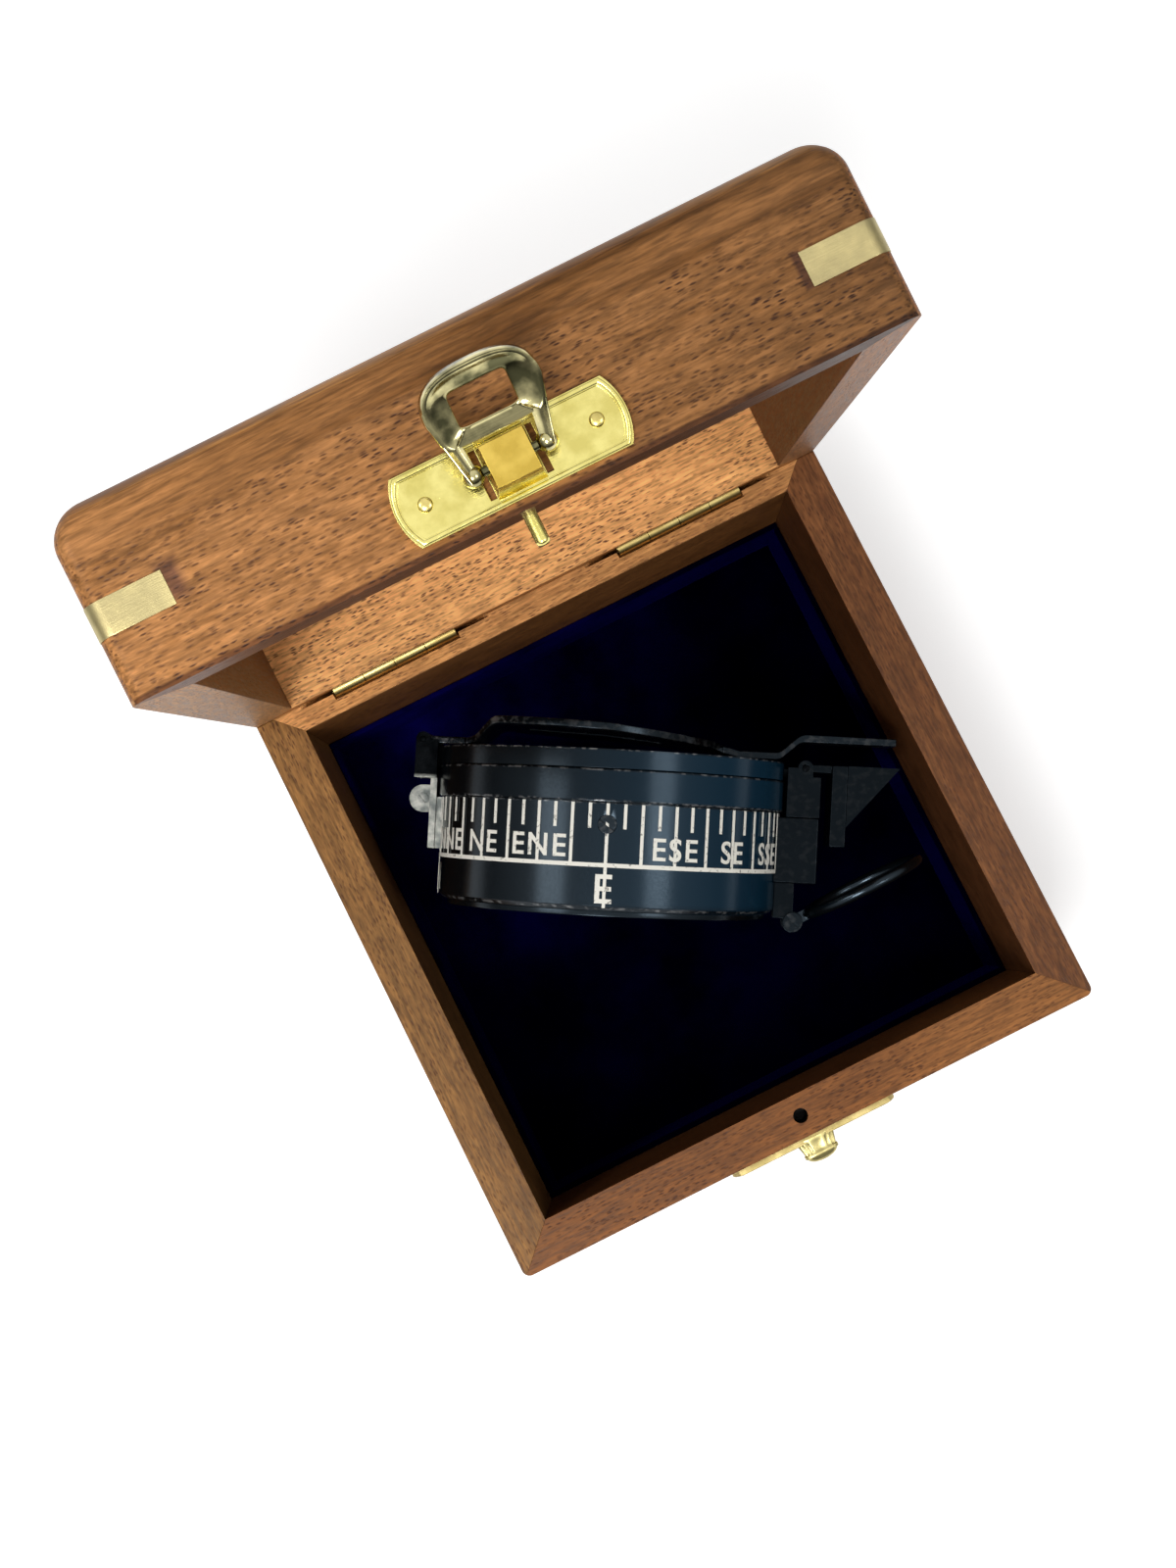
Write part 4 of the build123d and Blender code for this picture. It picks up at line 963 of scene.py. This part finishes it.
# Scale on the case. Sixty-four engraved divisions, a line below them and the
# points of the compass, all filled with white paint.
case_radius = 30.1
paint_rise = 0.05
division_count = 64
division = tau * case_radius / division_count
half_division = division / 2
line_height = 8.6
line_half = 0.35
scale_top = 18.9
short_mark = 4.2
mark_width = 0.55
mark_foot = 1.5
scale_paint, paint_tree, paint_shader = new_material("scale_paint")
paint_white = (0.8, 0.78, 0.7, 1)
paint_grimy = (0.2, 0.19, 0.17, 1)
paint_worn = clouds(paint_tree, object_place(paint_tree), (1500, 1500, 1500), 4)
paint_worn = span(paint_tree, paint_worn, 0.3, 0.42)
paint_colour = mixed(paint_tree, paint_worn, paint_grimy, paint_white)
paint_tree.links.new(paint_colour, paint_shader.inputs["Base Color"])
paint_shader.inputs["Roughness"].default_value = 0.6
scale_parts = []


def scale_bar(middle, width, low, high, cuts=0):
    """A painted bar on the flat scale, between two heights, in millimetres."""
    bpy.ops.object.select_all(action="DESELECT")
    bpy.ops.mesh.primitive_cube_add(
        size=1,
        location=Vector((middle, 0, (low + high) / 2)) * mm,
        scale=Vector((width, 2 * paint_rise, high - low)) * mm,
    )
    bar = bpy.context.object
    bpy.ops.object.transform_apply(location=True, rotation=True, scale=True)
    if cuts:
        bpy.ops.object.mode_set(mode="EDIT")
        bpy.ops.mesh.select_all(action="SELECT")
        bpy.ops.mesh.subdivide(number_cuts=cuts)
        bpy.ops.object.mode_set(mode="OBJECT")
    scale_parts.append(bar)


def scale_word(word, middle, base, size, spread):
    """A painted word on the flat scale, centred over one division."""
    bpy.ops.object.select_all(action="DESELECT")
    bpy.ops.object.text_add(location=(middle * mm, 0, base * mm), rotation=(pi / 2, 0, 0))
    text = bpy.context.object
    text.data.body = word
    text.data.size = size * mm
    text.data.space_character = spread
    text.data.align_x = "CENTER"
    text.data.extrude = paint_rise * mm
    text.data.offset = 0.07 * mm
    bpy.ops.object.convert(target="MESH")
    bpy.ops.object.transform_apply(location=True, rotation=True, scale=True)
    scale_parts.append(text)


scale_bar(0, division_count * division, line_height - line_half, line_height + line_half, 127)
for number in range(division_count):
    middle = (number - division_count / 2) * division + half_division
    low = line_height if number % 2 == 0 else scale_top - short_mark
    if number % 16 == 0:
        low = mark_foot
    scale_bar(middle, mark_width, low, scale_top)
points_from_east = "E ESE SE SSE S SSW SW WSW W WNW NW NNW N NNE NE ENE"
for number, word in enumerate(points_from_east.split()):
    step = number * 4 if number < 8 else number * 4 - division_count
    middle = step * division + half_division
    if number % 4 == 0:
        scale_word(word, middle - 0.3, base=2.3, size=6.9, spread=1.0)
    else:
        scale_word(word, middle, base=9.8, size=5.3, spread=1.15)
scale = join_parts(scale_parts, "case_scale")
roll_up = scale.modifiers.new("roll_up", "SIMPLE_DEFORM")
roll_up.deform_method = "BEND"
roll_up.deform_axis = "Z"
roll_up.angle = tau
bpy.ops.object.modifier_apply(modifier=roll_up.name)
half_turn_back = Matrix.Rotation(-half_division / case_radius, 4, "Z")
centred = Matrix.Translation((0, -case_radius * mm, 0))
scale.data.transform(compass_place @ half_turn_back @ centred)
scale.data.materials.clear()
scale.data.materials.append(scale_paint)
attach(scale, "compass")

# Bezel, its glass and the ring that holds the glass. The rings are turned brass
# with the same enamel, and they turn together above the case.
bezel_black = enamel_finish("bezel_black", rims=(19.3, 24.5, 27.9), shine=0.2, painted_blue_sheen=0.7)
eased("bezel_ring", "bezel", bezel_black, 0.25)
eased("crystal_ring", "bezel", bezel_black, 0.3)
clear_glass, glass_tree, glass_shader = new_material("clear_glass")
glass_dust = clouds(glass_tree, object_place(glass_tree), (900, 900, 900), 4)
glass_dust = span(glass_tree, glass_dust, 0.4, 0.75, 0.02, 0.14)
glass_tree.links.new(glass_dust, glass_shader.inputs["Roughness"])
glass_shader.inputs["Base Color"].default_value = (0.94, 0.97, 0.96, 1)
glass_shader.inputs["Transmission Weight"].default_value = 1.0
eased("bezel_crystal", "bezel", clear_glass, 0.15)

# Card, jewel, magnets and pivot, all inside the case. The card carries its two
# steel magnets below and turns on the jewel, which rests on the brass pivot.
card_face, face_tree, face_shader = new_material("card_face")
face_cream = (0.84, 0.82, 0.74, 1)
face_stained = (0.72, 0.69, 0.58, 1)
face_stain = clouds(face_tree, object_place(face_tree), (160, 160, 160), 5)
face_stain = span(face_tree, face_stain, 0.35, 0.7)
face_colour = mixed(face_tree, face_stain, face_stained, face_cream)
face_tree.links.new(face_colour, face_shader.inputs["Base Color"])
face_shader.inputs["Roughness"].default_value = 0.75
pivot_brass = metal_finish("pivot_brass", ((0.8, 0.6, 0.3, 1), (0.55, 0.4, 0.2, 1)), 500.0, 0.4)
magnet_steel = metal_finish("magnet_steel", ((0.4, 0.4, 0.42, 1), (0.22, 0.22, 0.24, 1)), 300.0, 1.4)
eased("compass_card", "card", card_face, 0.1)
eased("card_jewel", "card", pivot_brass, 0.15)
eased("card_magnets", "card", magnet_steel, 0.1)
eased("card_pivot", "compass", pivot_brass, 0.08)

# Sight lid. A bent sheet with a window, in the same black enamel, on a pinned
# hinge.
sight_black = enamel_finish("sight_black", everywhere=0.14, shine=0.22, worn_end=0.9)
eased("sight_lid", "sight", sight_black, 0.25)
eased("sight_window", "sight", clear_glass, 0.08)
eased("sight_hinge_pin", "compass", bare_metal, 0.08)

# Prism unit. A bracket, a focus slide and a hinged plate that carries the
# prism's housing, all enamelled.
prism_black = enamel_finish("prism_black", everywhere=0.03, shine=0.1)
eased("prism_bracket", "compass", prism_black, 0.3)
eased("prism_slide", "focus", prism_black, 0.25)
eased("prism_hinge_pin", "focus", bare_metal, 0.08)
eased("prism_plate", "prism", prism_black, 0.25)
eased("prism_housing", "prism", prism_black, 0.25)
eased("prism_glass", "prism", clear_glass, 0.1)

# Thumb ring. Round enamelled wire with an eye, held by a slotted screw in a
# small lug on the case.
ring_black = enamel_finish("ring_black", shine=0.5)
ring_screw_black = enamel_finish("ring_screw_black", everywhere=0.15, shine=0.2)
eased("thumb_ring", "ring", ring_black, 0.1)
eased("ring_lug", "compass", prism_black, 0.2)
eased("ring_screw", "compass", ring_screw_black, 0.1)
